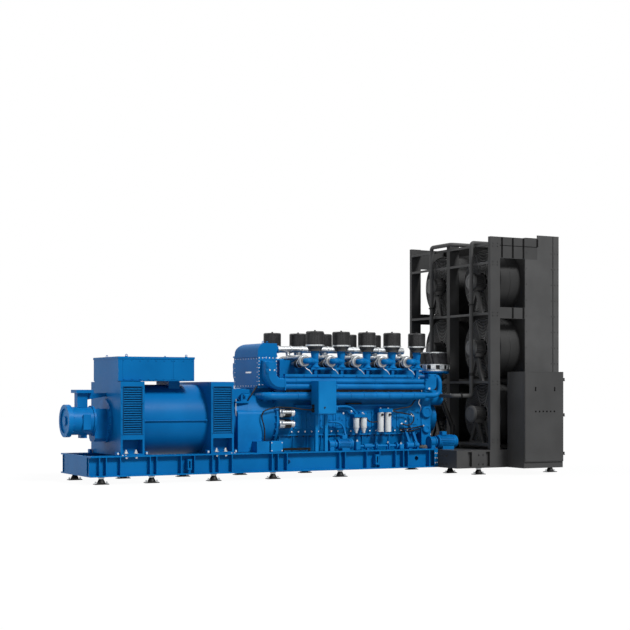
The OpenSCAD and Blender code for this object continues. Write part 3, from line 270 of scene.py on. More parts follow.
# Radiator base: welded girders, beams and a deck of plate in black powder coat, which dries satin
# with a fine even texture. Bolts through the girder webs hold the cross beams.
black_coat = finish("black_powder_coat", ("#444444", "#4B4B4B"), 600, 24, 0.35, 0.46, specular=0.12)
dress(black_coat, "radiator_base_girders", "radiator_base_beams", "radiator_deck")
bolts("base_girder_bolts", [(x + s, -1.463, z) for x in (3.80, 4.66, 5.48) for s in (-0.05, 0.05)
      for z in (0.21, 0.39)], outward, 0.026, black_coat)
to_alternator = (0, -90, 0)
base_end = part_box("radiator_base_beams")[0].x
bolts("base_end_bolts", [(base_end, y, z) for y in (-1.10, -0.95, -0.62, -0.47, 0.47, 0.62, 0.95, 1.10)
      for z in (0.20, 0.36)], to_alternator, 0.026, black_coat, both=False)

# Alternator: two welded end frames with louvred windows, a rolled stator barrel between them, a cast
# bearing shield with the exciter drum, and a folded terminal box on top, all in the same blue.
dress(blue_plate, "alternator_frames", "alternator_barrel", "alternator_brackets", "terminal_box")
# Blue enamel over iron castings: the sand grain under the paint is 2 mm in truth, drawn at 16 mm.
blue_casting = finish("blue_enamel_on_casting", ("#056AAB", "#0B78BE"), 320, 16, 0.7, 0.38, specular=0.10)
dress(blue_casting, "alternator_bearing_shield", "exciter")
# The slats behind the lips lie in one another's shade, and that shade is painted into their blue: painted
# shade, darker than the frames' enamel.
louvre_blue_painted_shade = finish("blue_louvres_painted_shade", ("#023A63", "#054A7C"), 400, 20, 0.3, 0.42, specular=0.12)
dress(louvre_blue_painted_shade, "alternator_louvres")

# Holding-down studs: zinc-plated steel, standing in the foot pockets. They go through the skid's flange to
# a nut below, and a length of thread shows past the upper nut.
downward = (180, 0, 0)
studs = (-3.148, -2.965, -1.435, -1.260)
bolts("foot_studs", [(x, -0.742, 0.520) for x in studs], upright, 0.050, stud=0.7)
bolts("foot_nuts_below", [(x, -0.772, 0.465) for x in studs], downward, 0.036)

# Jacking lugs: a steel block welded on the skid at each corner of the end frames, with a plated set screw
# that pushes the foot sideways to line up the shaft. Dowels then hold the place.
jacks = (-3.300, -2.770, -1.600, -1.060)
begin()
slab((jacks[0] - 0.025, -0.76, 0.490), (jacks[0] + 0.025, -0.66, 0.555), 0.006)
repeat([(x, 0, 0) for x in jacks])
far_side()
settle("jacking_lugs", blue_plate)
bolts("jacking_screws", [(x, -0.76, 0.525) for x in jacks], outward, 0.020)
bolts("frame_dowels", [(x + s, -0.795, 0.490) for x in (-3.20, -1.13) for s in (-0.03, 0.03)], upright, 0.018)

# Louvre panels: pressed slats in a rim, each with a rolled lip at its lower edge that catches the light,
# held in the frame's recess by small screws through the border.
frame_ends = ((-3.2555, -2.8155), (-1.5505, -1.1045))
low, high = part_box("alternator_louvres")
slats = 20
louvre_rim = 0.018
pitch = (high.z - low.z - 2 * louvre_rim) / slats
begin()
for a, b in frame_ends:
    lip_z = low.z + louvre_rim
    slab((a + 0.055, low.y + 0.001, lip_z), (b - 0.055, low.y + 0.010, lip_z + 0.019), 0.004)
repeat([(0, 0, pitch * k) for k in range(slats)])
far_side()
settle("louvre_lips", blue_plate)
screws = [(x, -0.770, z) for a, b in frame_ends for x in (a + 0.028, b - 0.028)
          for z in (0.86, 1.13, 1.40, 1.67)]
bolts("louvre_screws", screws, outward, 0.016, blue_plate)

# Terminal box covers: two folded steel sheets on each long side, a narrow joint apart, in the box's own
# blue. Captive screws along the upper and lower edges hold them.
begin()
slab((-3.172, -0.645, 1.800), (-2.236, -0.638, 2.158), 0.003)
slab((-2.224, -0.645, 1.800), (-1.842, -0.638, 2.158), 0.003)
far_side()
settle("terminal_covers", blue_plate)
edge_x = [-3.150 + 0.15 * k for k in range(7)] + [-2.205 + 0.1727 * k for k in range(3)]
bolts("terminal_cover_screws", [(x, -0.645, z) for x in edge_x for z in (1.818, 2.140)], outward, 0.013,
      blue_plate)


# Lifting eyes: forged steel rings with a collar, screwed into the terminal box's lid and painted with
# the box. Two stand on each side, so that slings hang clear of the covers.
def hoop(at, axis, radius, width, thick, steps=40, sides=4):
    """Adds a ring to the open mesh: a section of that width along the axis, spun once about it."""
    aim = Vector([axis == name for name in "XYZ"])
    out = Vector((0, 0, 1)) if axis == "X" else Vector((1, 0, 0))
    lean = math.radians(45) if sides == 4 else 0
    turn = (0, 0, lean) if axis == "Y" else (math.radians(90), lean, 0)
    where = Vector(at) + radius * out
    half = math.sqrt(0.5) if sides == 4 else 0.5
    bpy.ops.mesh.primitive_circle_add(vertices=sides, radius=half, location=where, rotation=turn)
    bpy.ops.transform.resize(value=[width if a else thick if o else 1 for a, o in zip(aim, out)],
                             center_override=where)
    bpy.ops.mesh.spin(steps=steps, angle=math.tau, center=at, axis=aim, use_auto_merge=True)


def eye(at):
    """Adds a forged lifting eye on its collar to the open mesh."""
    rod(Vector(at) + Vector((0, 0, 0.006)), upright, 0.026, 0.012, 0.003, 16)
    hoop(Vector(at) + Vector((0, 0, 0.026)), "Y", 0.017, 0.012, 0.012, 20, 8)


begin()
eye((-3.05, -0.50, 2.210))
repeat([(-3.05, -0.50, 0), (-1.92, -0.50, 0)])
far_side()
settle("terminal_box_eyes", blue_plate)

# Barrel seam: a round steel bar along the barrel's side, level with the shaft, where the two rolled halves
# are clamped. A thicker collar ends it at each frame.
shaft_z = 1.084
to_radiator = (0, 90, 0)
begin()
rod((-2.183, -0.662, shaft_z), to_radiator, 0.011, 1.155, 0.003, 12)
for x in (-2.765, -1.601):
    rod((x, -0.662, shaft_z), to_radiator, 0.021, 0.034, 0.008, 16)
far_side()
settle("barrel_seam_bars", blue_plate)


# Bearing shield and exciter: iron castings, turned where they meet and bolted up on their rims. The drum's
# rim has its bolts on the inner side, and a cover on each flank opens to the diodes.
def round_x(x, y, z, radius, count, keep=lambda y, z: True):
    """Places on a circle about a shaft along X, without those that another piece covers."""
    turns = [(k + 0.5) * math.tau / count for k in range(count)]
    places = [(x, y + radius * math.cos(a), z + radius * math.sin(a)) for a in turns]
    return [p for p in places if keep(p[1], p[2])]


bolts("bearing_shield_bolts", round_x(-3.2955, 0, shaft_z, 0.355, 16, lambda y, z: abs(y) > 0.2),
      to_alternator, 0.030, blue_casting, both=False)
bolts("exciter_rim_bolts", round_x(-3.9325, 0, shaft_z, 0.267, 12), to_radiator, 0.024, blue_casting,
      both=False)
begin()
slab((-3.755, -0.275, 0.93), (-3.615, -0.235, 1.20), 0.008)
far_side()
settle("exciter_inspection_covers", blue_casting)

# Engine: an iron crankcase and heads, an alloy oil pan, and fabricated ducts and brackets, all sprayed
# blue once the engine is built.
dress(blue_casting, "flywheel_housing", "crankcase", "oil_pan", "cylinder_heads", "turbo_carrier",
      "front_gear_case", "cooler_ducts", "exhaust_pipe", "filter_funnels", "side_pipes", "service_pumps")
dress(blue_plate, "engine_mounts", "charge_air_cooler", "filter_brackets")


# Flywheel housing: a bell casting bolted to the crankcase through its flange. Flat cheeks close its lower
# half round the coupling, with rounded shoulders where they run into the bell.
def pick_points(test):
    """Selects the open mesh's points that pass a test, and the edges between them."""
    bpy.ops.mesh.select_mode(type="VERT")
    bpy.ops.mesh.select_all(action="DESELECT")
    bpy.ops.object.mode_set(mode="OBJECT")
    for point in bpy.context.object.data.vertices:
        point.select = test(point.co)
    bpy.ops.object.mode_set(mode="EDIT")


begin()
bpy.ops.mesh.primitive_cube_add(size=1, location=(-0.685, -0.4425, 0.875), scale=(0.510, 0.285, 0.770))
pick_points(lambda point: point.z > 1.25 and point.y < -0.5)
bpy.ops.mesh.bevel(offset=0.085, segments=5, affect="EDGES")
bpy.ops.mesh.select_mode(type="EDGE")
soften(0.006)
far_side()
settle("coupling_cheeks", blue_casting)
bolts("flywheel_flange_bolts", round_x(-0.1605, 0, shaft_z, 0.592, 30, lambda y, z: z < 1.62),
      to_alternator, 0.028, blue_casting, both=False)


# Crankcase doors: a cast iron cover over each crank throw, on a flat joint, raised in the middle for
# stiffness and held by six painted bolts.
def pick(test):
    """Selects the open mesh's faces whose middle and normal pass a test."""
    bpy.ops.mesh.select_mode(type="FACE")
    bpy.ops.object.mode_set(mode="OBJECT")
    mesh = bpy.context.object.data
    mesh.vertices.foreach_set("select", [False] * len(mesh.vertices))
    mesh.edges.foreach_set("select", [False] * len(mesh.edges))
    for face in mesh.polygons:
        face.select = test(face.center, face.normal)
    bpy.ops.object.mode_set(mode="EDIT")


engine_x = 1.6165
throw_pitch = 0.281
throws = [engine_x + (i - 4.5) * throw_pitch for i in range(10)]
begin()
slab((throws[0] - 0.108, -0.494, 0.900), (throws[0] + 0.108, -0.478, 1.225), 0.005)
pick(lambda middle, normal: normal.y < -0.99)
bpy.ops.mesh.inset(thickness=0.038, depth=0.0)
bpy.ops.mesh.inset(thickness=0.012, depth=0.012)
repeat([(x, 0, 0) for x in throws])
far_side()
settle("crankcase_doors", blue_casting)
bolts("crankcase_door_bolts", [(x + s, -0.494, z) for x in throws for s in (-0.09, 0.09)
      for z in (0.925, 1.0625, 1.20)], outward, 0.020, blue_casting)

# Coolant rail: an iron ledge cast along the crankcase under the manifold, with a flat top and a shallow
# panel in its face, painted with the block.
begin()
slab((0.250, -0.560, 1.318), (2.780, -0.470, 1.354), 0.008)
pick(lambda middle, normal: normal.y < -0.99)
bpy.ops.mesh.inset(thickness=0.008, depth=-0.004)
far_side()
settle("coolant_rails", blue_casting)

# Main bearing cross bolts: zinc-plated heads low on the crankcase that draw its walls to the bearing caps.
# The pan's own bolts, blacked, stand under its flange at the same pitch.
bearings = [throws[0] - 0.14 + throw_pitch / 2 * k for k in range(20)]
bolts("cross_bolts", [(x, -0.480, 0.848) for x in bearings], outward, 0.016)
bolts("pan_bolts", [(x, -0.425, 0.770) for x in bearings], downward, 0.026, rubber_black)

# Cylinder heads: one iron casting to a cylinder, each with a cover held by four bright bolts round a
# filler cap, all square to the bank's slope.
bank_slope = 36


def on_head(x, out, across):
    """A point on the near bank: out along the cylinder's line from the shaft, across to the service side."""
    sine, cosine = math.sin(math.radians(bank_slope)), math.cos(math.radians(bank_slope))
    return (x, -out * sine - across * cosine, shaft_z + out * cosine - across * sine)


cover_corners = [on_head(x + s, 0.930, t) for x in throws for s in (-0.10, 0.10) for t in (-0.045, 0.045)]
bolts("head_cover_bolts", cover_corners, (bank_slope, 0, 0), 0.024)
begin()
rod(on_head(throws[0], 0.945, 0), (bank_slope, 0, 0), 0.032, 0.030, 0.007, 20)
repeat([on_head(x, 0.945, 0) for x in throws])
far_side()
settle("head_cover_caps", blue_casting)

# Charge air cooler: a box of plate with a domed hood, its joints closed by rows of bright bolts, and on
# each side a cast elbow on a flange. A bare plate marks its end, and two eyes lift it off.
flange_x = [-0.486 + 0.0704 * k for k in range(6)]
flange_z = [1.7265 + 0.0614 * k for k in range(9)]
flange_rim = [(x, -0.533, z) for x in flange_x for z in (flange_z[0], flange_z[-1])]
flange_rim += [(x, -0.533, z) for x in (flange_x[0], flange_x[-1]) for z in flange_z[1:-1]]
bolts("duct_flange_bolts", flange_rim, outward, 0.013)
cooler_rim = [(-0.5005, -0.46 + 0.115 * k, z) for k in range(9) for z in (1.700, 2.205)]
cooler_rim += [(-0.5005, y, 1.785 + 0.085 * k) for y in (-0.485, 0.485) for k in range(5)]
bolts("cooler_end_bolts", cooler_rim, to_alternator, 0.011, both=False)
bolts("duct_studs", [(x, -0.753, 1.990) for x in (-0.375, -0.280)], outward, 0.016)
begin()
eye((-0.31, -0.33, 2.490))
eye((-0.16, -0.20, 2.490))
settle("cooler_eyes", blue_plate)
begin()
slab((-0.5045, -0.23, 1.940), (-0.4995, 0.01, 1.968), 0.001)
pick(lambda middle, normal: normal.x < -0.99)
bpy.ops.mesh.inset(thickness=0.005, depth=-0.001)
settle("cooler_plate", zinc)
begin()
for z in (1.965, 2.075):
    bpy.ops.mesh.primitive_cube_add(size=1, location=(-0.4195, -0.730, z), rotation=(0, 0, math.radians(-45)),
                                    scale=(0.046, 0.018, 0.080))
    bpy.ops.mesh.bevel(offset=0.008, segments=2, affect="EDGES")
far_side()
settle("duct_ribs", blue_casting)

# Side pipes: painted steel pipes, with a dark strip of painted shade in the gap between the hot one and the
# two above. The rail over them is clamped to each head, and the knee at the front has a bolted cover.
# Coated glass cloth: a dull dark grey that goes paler in soft patches where the cloth is rubbed.
blanket = finish("dark_heat_blanket", ("#1D1D1F", "#38383B"), 70, 18, 2.0, 0.6)
# A dark strip in the blanket's grey: painted shade in the gap between the pipes.
begin()
slab((0.000, -0.656, 1.588), (2.930, -0.640, 1.642), 0.003)
far_side()
settle("pipe_gap_painted_shade", blanket)
bolts("pipe_rail_bolts", [(x, -0.718, 1.897) for x in throws[:9]], outward, 0.018, blue_casting)
knee = ((3.010, 1.655), (3.010, 1.825), (3.215, 1.915), (3.085, 1.915))
bolts("knee_bolts", [(x, -0.754, z) for x, z in knee], outward, 0.022, blue_casting)
bolts("knee_plug", [(3.075, -0.754, 1.655)], outward, 0.024)

# Turbochargers: each lies across the engine, its bare cast scroll to the outside and the hot turbine in a
# dark blanket by the carrier, drawn together by a band clamp. A blue elbow leads the air in from its filter.
# Bead-blasted aluminium: pale grey castings with a soft, wide shine and no clear reflection.
cast_aluminium = finish("bead_blasted_aluminium", ("#A9ACAE", "#CDD0D2"), 160, 10, 0.6, 0.36, metal=0.85,
                        specular=0.5)
dress(cast_aluminium, "charge_air_header", "starters")
# Scroll castings run hot and dull: the same metal, greyed in patches.
hot_aluminium = finish("heat_dulled_aluminium", ("#85888A", "#BDC0C2"), 90, 10, 0.8, 0.36, metal=0.8,
                       specular=0.5)


def other_bank():
    """Copies the whole open mesh to the other bank, half a turn about the engine's middle."""
    bpy.ops.mesh.select_all(action="SELECT")
    bpy.ops.mesh.duplicate()
    bpy.ops.transform.rotate(value=math.pi, orient_axis="Z", center_override=(engine_x, 0, 0))


def rod_y(x, low, high, z, radius, edge):
    """Adds a round bar across the set to the open mesh, from one side place to another."""
    rod((x, (low + high) / 2, z), outward, radius, high - low, edge)


filters = [0.6605 + 2 * throw_pitch * k for k in range(5)]
turbo_x = filters[0] - 0.283
turbo_z = 2.165
outlet_z = 2.239
turbine_z = 2.118
begin()
hoop((turbo_x, -0.665, turbo_z), "Y", 0.083, 0.070, 0.066, 40, 12)
hoop((turbo_x, -0.703, turbo_z), "Y", 0.061, 0.024, 0.012, 32, 6)
rod_y(turbo_x, -0.660, -0.612, turbo_z, 0.097, 0.008)
rod_y(turbo_x, -0.615, -0.470, turbo_z - 0.015, 0.058, 0.006)
rod_y(turbo_x, -0.665, -0.443, outlet_z, 0.044, 0.006)
rod_y(turbo_x, -0.380, -0.229, turbine_z, 0.045, 0.004)
repeat([(x, 0, 0) for x in filters])
other_bank()
scrolls = settle("turbo_scrolls", hot_aluminium)
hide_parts("turbochargers")
begin()
rod_y(turbo_x, -0.505, -0.362, turbine_z, 0.074, 0.016)
repeat([(x, 0, 0) for x in filters])
other_bank()
settle("turbine_blankets", blanket)
begin()
hoop((turbo_x, -0.612, turbo_z), "Y", 0.098, 0.018, 0.010, 36, 6)
hoop((turbo_x, -0.500, turbine_z), "Y", 0.074, 0.020, 0.010, 32, 6)
hoop((turbo_x, -0.458, outlet_z), "Y", 0.046, 0.022, 0.008, 28, 6)
slab((turbo_x - 0.118, -0.624, turbo_z - 0.014), (turbo_x - 0.092, -0.600, turbo_z + 0.014), 0.004)
repeat([(x, 0, 0) for x in filters])
other_bank()
settle("turbo_clamps", zinc)


def course(points, radius):
    """Opens a pipe or hose of that radius for editing, curved through its points and filled at the ends."""
    bpy.ops.object.select_all(action="DESELECT")
    bpy.ops.curve.primitive_bezier_curve_add(location=(0, 0, 0))
    run = bpy.context.object.data
    knots = run.splines[0].bezier_points
    knots.add(len(points) - 2)
    for knot, point in zip(knots, points):
        knot.handle_left_type = knot.handle_right_type = "AUTO"
        knot.co = point
    run.dimensions = "3D"
    run.resolution_u = 5
    run.bevel_depth = radius
    run.bevel_resolution = 2 if radius < 0.03 else 5
    run.use_fill_caps = True
    bpy.ops.object.convert(target="MESH")
    bpy.ops.object.mode_set(mode="EDIT")
    bpy.ops.mesh.select_mode(type="EDGE")


elbow = ((0.270, -0.575), (0.185, -0.625), (0.105, -0.715), (0.040, -0.757), (0.004, -0.725), (0.0, -0.680))
course([(turbo_x + s, y, turbo_z) for s, y in elbow], 0.053)
repeat([(x, 0, 0) for x in filters])
other_bank()
settle("intake_elbows", blue_casting, angle=60)
course([(turbo_x + 0.02, -0.660, 2.085), (turbo_x + 0.03, -0.668, 2.040), (turbo_x + 0.10, -0.690, 1.985),
        (turbo_x + 0.15, -0.690, 1.925)], 0.008)
repeat([(x, 0, 0) for x in filters])
other_bank()
settle("turbo_oil_lines", zinc, angle=60)

# Charge air header: a bare aluminium pipe down the V with a branch to each turbocharger, pushed into the
# hood's blue spout. Plated band clamps close its joints.
header_z = 2.395
begin()
bpy.ops.mesh.primitive_cone_add(vertices=32, radius1=0.108, radius2=0.072, depth=0.26,
                                location=(0.0195, 0, header_z), rotation=(0, math.radians(90), 0))
soften(0.008, 50)
settle("header_spout", blue_casting)
begin()
clamps = (0.165, 0.430, 0.672, 1.230, 1.800, 2.360, 2.800)
hoop((clamps[0], 0, header_z), "X", 0.066, 0.030, 0.012, 32)
repeat([(x, 0, 0) for x in clamps])
settle("header_clamps", zinc)

# Air filters: pleated dry elements in a black moulded jacket, held to the funnel by a bright band with
# its screw, and closed by a lid under one nut.
# Moulded plastic: an even black with a wide soft shine along each rib.
filter_black = finish("black_moulded_plastic", ("#2E2E2F", "#3A3A3B"), 200, 14, 0.3, 0.30, specular=0.35)
dress(filter_black, "air_filters")
begin()
hoop((filters[0], -0.56, 2.461), "Z", 0.1735, 0.026, 0.006, 48)
slab((filters[0] - 0.024, -0.750, 2.449), (filters[0] + 0.024, -0.734, 2.473), 0.004)
repeat([(x, 0, 0) for x in filters])
other_bank()
settle("filter_bands", zinc)
begin()
hoop((filters[0], -0.56, 2.722), "Z", 0.120, 0.010, 0.016, 40, 6)
bolt((filters[0], -0.56, 2.725), upright, 0.030)
repeat([(x, 0, 0) for x in filters])
other_bank()
settle("filter_lid_nuts", filter_black)

# Exhaust bellows: a stainless bellows between two flanges, hidden by a creased dark blanket that is laced
# down under a toothed stainless skirt.
stack = Vector((3.6575, 0, 2.005))
begin()
bpy.ops.mesh.primitive_cone_add(vertices=60, radius1=0.298, radius2=0.272, depth=0.31,
                                end_fill_type="NOTHING", location=stack + Vector((0, 0, 0.205)))
pick_points(lambda point: round(math.degrees(math.atan2(point.y - stack.y, point.x - stack.x)) / 6) % 5 == 0)
bpy.ops.transform.resize(value=(0.93, 0.93, 1), center_override=stack)
pick_points(lambda point: point.z > stack.z + 0.3)
bpy.ops.transform.rotate(value=math.radians(16), orient_axis="Z", center_override=stack)
bpy.ops.mesh.select_all(action="SELECT")
bpy.ops.mesh.solidify(thickness=0.008)
wrap = settle("bellows_blanket", blanket, angle=20)
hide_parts("exhaust_bellows")
teeth = 11
begin()
slab(stack + Vector((-0.052, -0.324, 0.030)), stack + Vector((0.052, -0.308, 0.126)), 0.006)
for k in range(teeth - 1):
    bpy.ops.mesh.duplicate()
    bpy.ops.transform.rotate(value=math.tau / teeth, orient_axis="Z", center_override=stack)
hoop(stack + Vector((0, 0, 0.128)), "Z", 0.318, 0.020, 0.010, 64)
hoop(stack + Vector((0, 0, 0.015)), "Z", 0.246, 0.030, 0.132, 64)
hoop(stack + Vector((0, 0, 0.368)), "Z", 0.224, 0.024, 0.094, 64)
hoop(stack + Vector((0, 0, 0.190)), "Z", 0.184, 0.370, 0.006, 64)
settle("bellows_steel", zinc)
turns = [k * math.tau / 20 for k in range(20)]
flange = [(stack.x + 0.29 * math.cos(a), 0.29 * math.sin(a), 1.975) for a in turns]
bolts("exhaust_flange_bolts", flange, downward, 0.026, blue_casting, both=False)

# Gear case at the free end: an iron casting. Its cover, the damper's cover and the two coolant pumps are
# bolted on, and two round covers on each flank close the gear shafts.
gear_rim = [(3.2675, y, z) for y in [-0.46 + 0.115 * k for k in range(9)] for z in (0.585, 1.525)]
gear_rim += [(3.2675, y, 0.70 + 0.1175 * k) for y in (-0.465, 0.465) for k in range(7)]
bolts("gear_cover_bolts", gear_rim, to_radiator, 0.026, blue_casting, both=False)
bolts("damper_cover_bolts", round_x(3.5275, 0, shaft_z, 0.280, 16), to_radiator, 0.024, blue_casting,
      both=False)
bolts("coolant_pump_bolts", round_x(3.5665, -0.34, 1.479, 0.128, 8), to_radiator, 0.022, blue_casting)
begin()
for z, radius in ((0.87, 0.085), (1.20, 0.115)):
    rod((3.160, -0.520, z), outward, radius, 0.060, 0.012, 32)
pick(lambda middle, normal: normal.y < -0.99)
bpy.ops.mesh.inset(thickness=0.030, depth=0.0, use_individual=True)
bpy.ops.mesh.inset(thickness=0.010, depth=-0.010, use_individual=True)
far_side()
settle("gear_side_covers", blue_casting)

# Starters: two motors, one over the other, with bare aluminium ends, a black steel field case and a
# solenoid each with two plated terminals.
# Stoved enamel: a hard black with a narrow, clear highlight.
stoved_black = finish("black_stoved_enamel", ("#121212", "#1A1A1A"), 200, 14, 0.4, 0.36, specular=0.3)
begin()
hoop((0.0505, -0.58, 0.999), "X", 0.0785, 0.116, 0.005, 40)
hoop((0.1180, -0.58, 0.999), "X", 0.0760, 0.012, 0.012, 40)
repeat([(0, 0, 0.999), (0, 0, 1.202)])
settle("starter_cases", stoved_black)
terminals = [(0.0995, -0.678 + s, z) for z in (1.019, 1.222) for s in (-0.015, 0.015)]
bolts("solenoid_studs", terminals, to_radiator, 0.016, both=False, stud=0.8)

# Spin-on filters: drawn steel cans in white enamel with rolled seams; the fuel ones end in a clear bowl
# that has gone milky, the oil ones carry a black gauge near the head.
# White enamel on drawn steel: clean and glossy, a shade off white.
white_enamel = finish("white_enamel_cans", ("#D3D8DA", "#E4E8E9"), 120, 12, 0.2, 0.32, specular=0.4)
oil_x = (2.0675, 2.2335)
fuel_x = (1.5275, 1.6935)
can_y = -0.60
begin()
hoop((oil_x[0], can_y, 0.834), "Z", 0.0595, 0.012, 0.008, 32)
hoop((oil_x[0], can_y, 1.190), "Z", 0.0595, 0.018, 0.008, 32)
repeat([(x, 0, 0) for x in oil_x])
settle("oil_can_seams", white_enamel)
begin()
rod((fuel_x[0], can_y, 1.000), upright, 0.0585, 0.200, 0.009, 36)
hoop((fuel_x[0], can_y, 1.090), "Z", 0.0590, 0.016, 0.008, 36)
bpy.ops.mesh.primitive_cone_add(vertices=28, radius1=0.022, radius2=0.050, depth=0.096,
                                location=(fuel_x[0], can_y, 0.855))
soften(0.006, 40)
repeat([(x, 0, 0) for x in fuel_x])
settle("fuel_cans", white_enamel)
begin()
rod((oil_x[0], can_y, 1.021), upright, 0.0595, 0.386, 0.012, 36)
repeat([(x, 0, 0) for x in oil_x])
cans = settle("oil_cans", white_enamel)
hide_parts("canister_filters")
begin()
rod((oil_x[0], -0.668, 1.155), outward, 0.024, 0.026, 0.005, 20)
repeat([(x, 0, 0) for x in oil_x])
settle("oil_gauges", stoved_black)
head_tops = [(x, can_y, 1.168) for x in fuel_x] + [(x, can_y, 1.271) for x in oil_x]
bolts("filter_head_bolts", head_tops, upright, 0.022, both=False)

# Engine lines: rubber hoses and wrapped harnesses in black, steel tubes in bright zinc and painted pipes,
# all clipped to the block from one fitting to the next, so none hangs free.
lines = {
    "starter_harness": [(-0.429, -0.640, 0.700), (-0.429, -0.640, 0.913), (-0.466, -0.640, 1.206),
                        (-0.337, -0.650, 1.278), (0.074, -0.650, 1.302), (0.330, -0.700, 1.270),
                        (0.480, -0.860, 1.255)],
    "oil_hose": [(2.300, -0.580, 1.235), (2.420, -0.590, 1.205), (2.546, -0.590, 1.185),
                 (2.762, -0.590, 1.150)],
    "loop_hose": [(2.770, -0.560, 1.190), (2.810, -0.600, 1.125), (2.815, -0.600, 1.060),
                  (2.781, -0.600, 0.991), (2.683, -0.590, 0.946), (2.575, -0.550, 0.977)],
    "sump_hose": [(2.540, -0.500, 0.865), (2.640, -0.590, 0.872), (2.828, -0.600, 0.894),
                  (3.090, -0.530, 0.930)],
    "sump_return_hose": [(2.600, -0.500, 0.822), (2.700, -0.590, 0.830), (2.808, -0.600, 0.844),
                         (3.020, -0.500, 0.875)],
    "sensor_harness": [(1.350, -0.500, 1.372), (1.393, -0.540, 1.372), (1.627, -0.540, 1.371),
                       (1.700, -0.500, 1.371)],
    "fuel_hose": [(1.730, -0.600, 1.140), (1.775, -0.610, 1.060), (1.830, -0.610, 1.022),
                  (2.000, -0.600, 1.019)],
    "cooler_drain_hose": [(-0.490, -0.460, 1.700), (-0.535, -0.495, 1.668), (-0.600, -0.520, 1.590),
                          (-0.665, -0.520, 1.500), (-0.690, -0.480, 1.440)],
    "front_harness": [(2.300, -0.560, 1.225), (2.420, -0.590, 1.255), (2.534, -0.590, 1.277),
                      (2.749, -0.590, 1.318), (2.830, -0.590, 1.409), (2.840, -0.640, 1.450)],
}
for name, points in lines.items():
    course(points, 0.013)
    settle(name, rubber_black, angle=60)
course([(-0.950, -0.520, 1.520), (-0.950, -0.520, 1.480), (-0.950, -0.520, 1.200), (-0.944, -0.520, 1.166),
        (-0.916, -0.520, 1.152), (-0.820, -0.525, 1.152)], 0.011)
settle("breather_tube", zinc, angle=60)
course([(2.960, -0.660, 1.626), (2.960, -0.650, 1.543), (2.931, -0.640, 1.459), (2.911, -0.630, 1.376),
        (2.960, -0.620, 1.308), (3.020, -0.510, 1.208)], 0.010)
settle("water_tube", zinc, angle=60)
course([(0.860, -0.600, 1.314), (1.114, -0.600, 1.314), (1.330, -0.600, 1.314), (1.420, -0.600, 1.285),
        (1.480, -0.600, 1.235), (1.535, -0.600, 1.160)], 0.024)
settle("fuel_pipe", blue_casting, angle=60)
course([(0.900, -0.560, 1.030), (0.941, -0.600, 1.030), (1.090, -0.600, 1.024), (1.190, -0.600, 0.990),
        (1.250, -0.600, 0.920), (1.268, -0.620, 0.830), (1.268, -0.680, 0.720)], 0.022)
settle("priming_pipe", blue_casting, angle=60)

# Breather stand: a shelf, a post and a box folded from plate beside the flywheel housing, with a sloping
# strut, welded up and painted with the set. The breather tube hangs from it.
begin()
slab((-0.960, -0.535, 1.385), (-0.690, -0.430, 1.420), 0.004)
slab((-0.850, -0.520, 1.410), (-0.810, -0.445, 1.570), 0.006)
slab((-0.920, -0.540, 1.560), (-0.680, -0.425, 1.638), 0.010)
bpy.ops.mesh.primitive_cube_add(size=1, location=(-0.975, -0.482, 1.520), rotation=(0, math.radians(38), 0),
                                scale=(0.330, 0.060, 0.012))
bpy.ops.mesh.bevel(offset=0.003, segments=1, affect="EDGES")
settle("breather_stand", blue_plate)

# Cable tray on the skid: a slotted duct of black plastic on two feet, its comb of fingers open at the top.
# It takes the harness from the junction box to the engine.
begin()
slab((-0.108, -0.775, 0.522), (-0.094, -0.690, 0.560), 0.003)
repeat([(0.023 * k, 0, 0) for k in range(25)])
slab((-0.112, -0.770, 0.518), (0.465, -0.695, 0.530), 0.002)
slab((-0.112, -0.745, 0.488), (-0.082, -0.715, 0.522), 0.003)
slab((0.435, -0.745, 0.488), (0.465, -0.715, 0.522), 0.003)
settle("deck_cable_tray", rubber_black)

# Line fittings: plated steel unions and clips where the lines end or are held, each with its nut to the
# service side.
fittings = [(2.300, -0.580, 1.235), (2.762, -0.590, 1.150), (2.801, -0.600, 1.125), (2.634, -0.590, 1.018),
            (2.575, -0.550, 0.977), (3.078, -0.535, 0.930), (1.249, -0.600, 1.187), (1.424, -0.600, 1.220),
            (1.668, -0.600, 1.190), (-0.758, -0.530, 1.151), (2.344, -0.580, 1.222)]
bolts("line_fittings", fittings, outward, 0.019, both=False, stud=0.4)

# Control box: folded sheet on a stand of square tube, with a lipped door, one quarter-turn lock and
# glands in its side; inside, a zinc plate carries three rows of relays between cable ducts.
# Blue enamel on thin sheet: baked, a little lighter and glossier than on the plate.
blue_sheet = finish("blue_enamel_on_sheet", ("#0A76BA", "#1180C4"), 500, 24, 0.15, 0.32, specular=0.10)
dress(blue_sheet, "control_box", "control_box_door", "control_box_stand", "junction_box")
begin()
slab((0.4825, -1.0535, 1.198), (0.8465, -1.0495, 1.786), 0.003)
settle("control_door_skin", blue_sheet, "control_box_door")
begin()
rod((0.602, -1.058, 1.303), outward, 0.017, 0.012, 0.003, 20)
slab((0.599, -1.066, 1.286), (0.605, -1.060, 1.320), 0.001)
settle("control_door_lock", stoved_black, "control_box_door")
glands = [(0.4745, -0.87 + 0.045 * (k % 2), 1.235 + 0.05 * (k // 2)) for k in range(6)]
bolts("control_box_glands", glands, to_alternator, 0.028, stoved_black, both=False)
begin()
slab((0.500, -0.800, 1.215), (0.829, -0.790, 1.770), 0.002)
for z in (1.330, 1.500, 1.670):
    slab((0.510, -0.812, z - 0.018), (0.819, -0.799, z + 0.018), 0.002)
settle("control_plate", zinc)
begin()
slab((0.520, -0.885, 1.288), (0.548, -0.812, 1.372), 0.004)
repeat([(0.031 * k, 0, z) for z in (0, 0.17, 0.34) for k in range(9)])
settle("control_relays", filter_black)
begin()
slab((0.505, -0.860, 1.395), (0.824, -0.800, 1.435), 0.003)
repeat([(0, 0, 0), (0, 0, 0.17), (0, 0, 0.335)])
settle("control_cable_ducts", white_enamel)

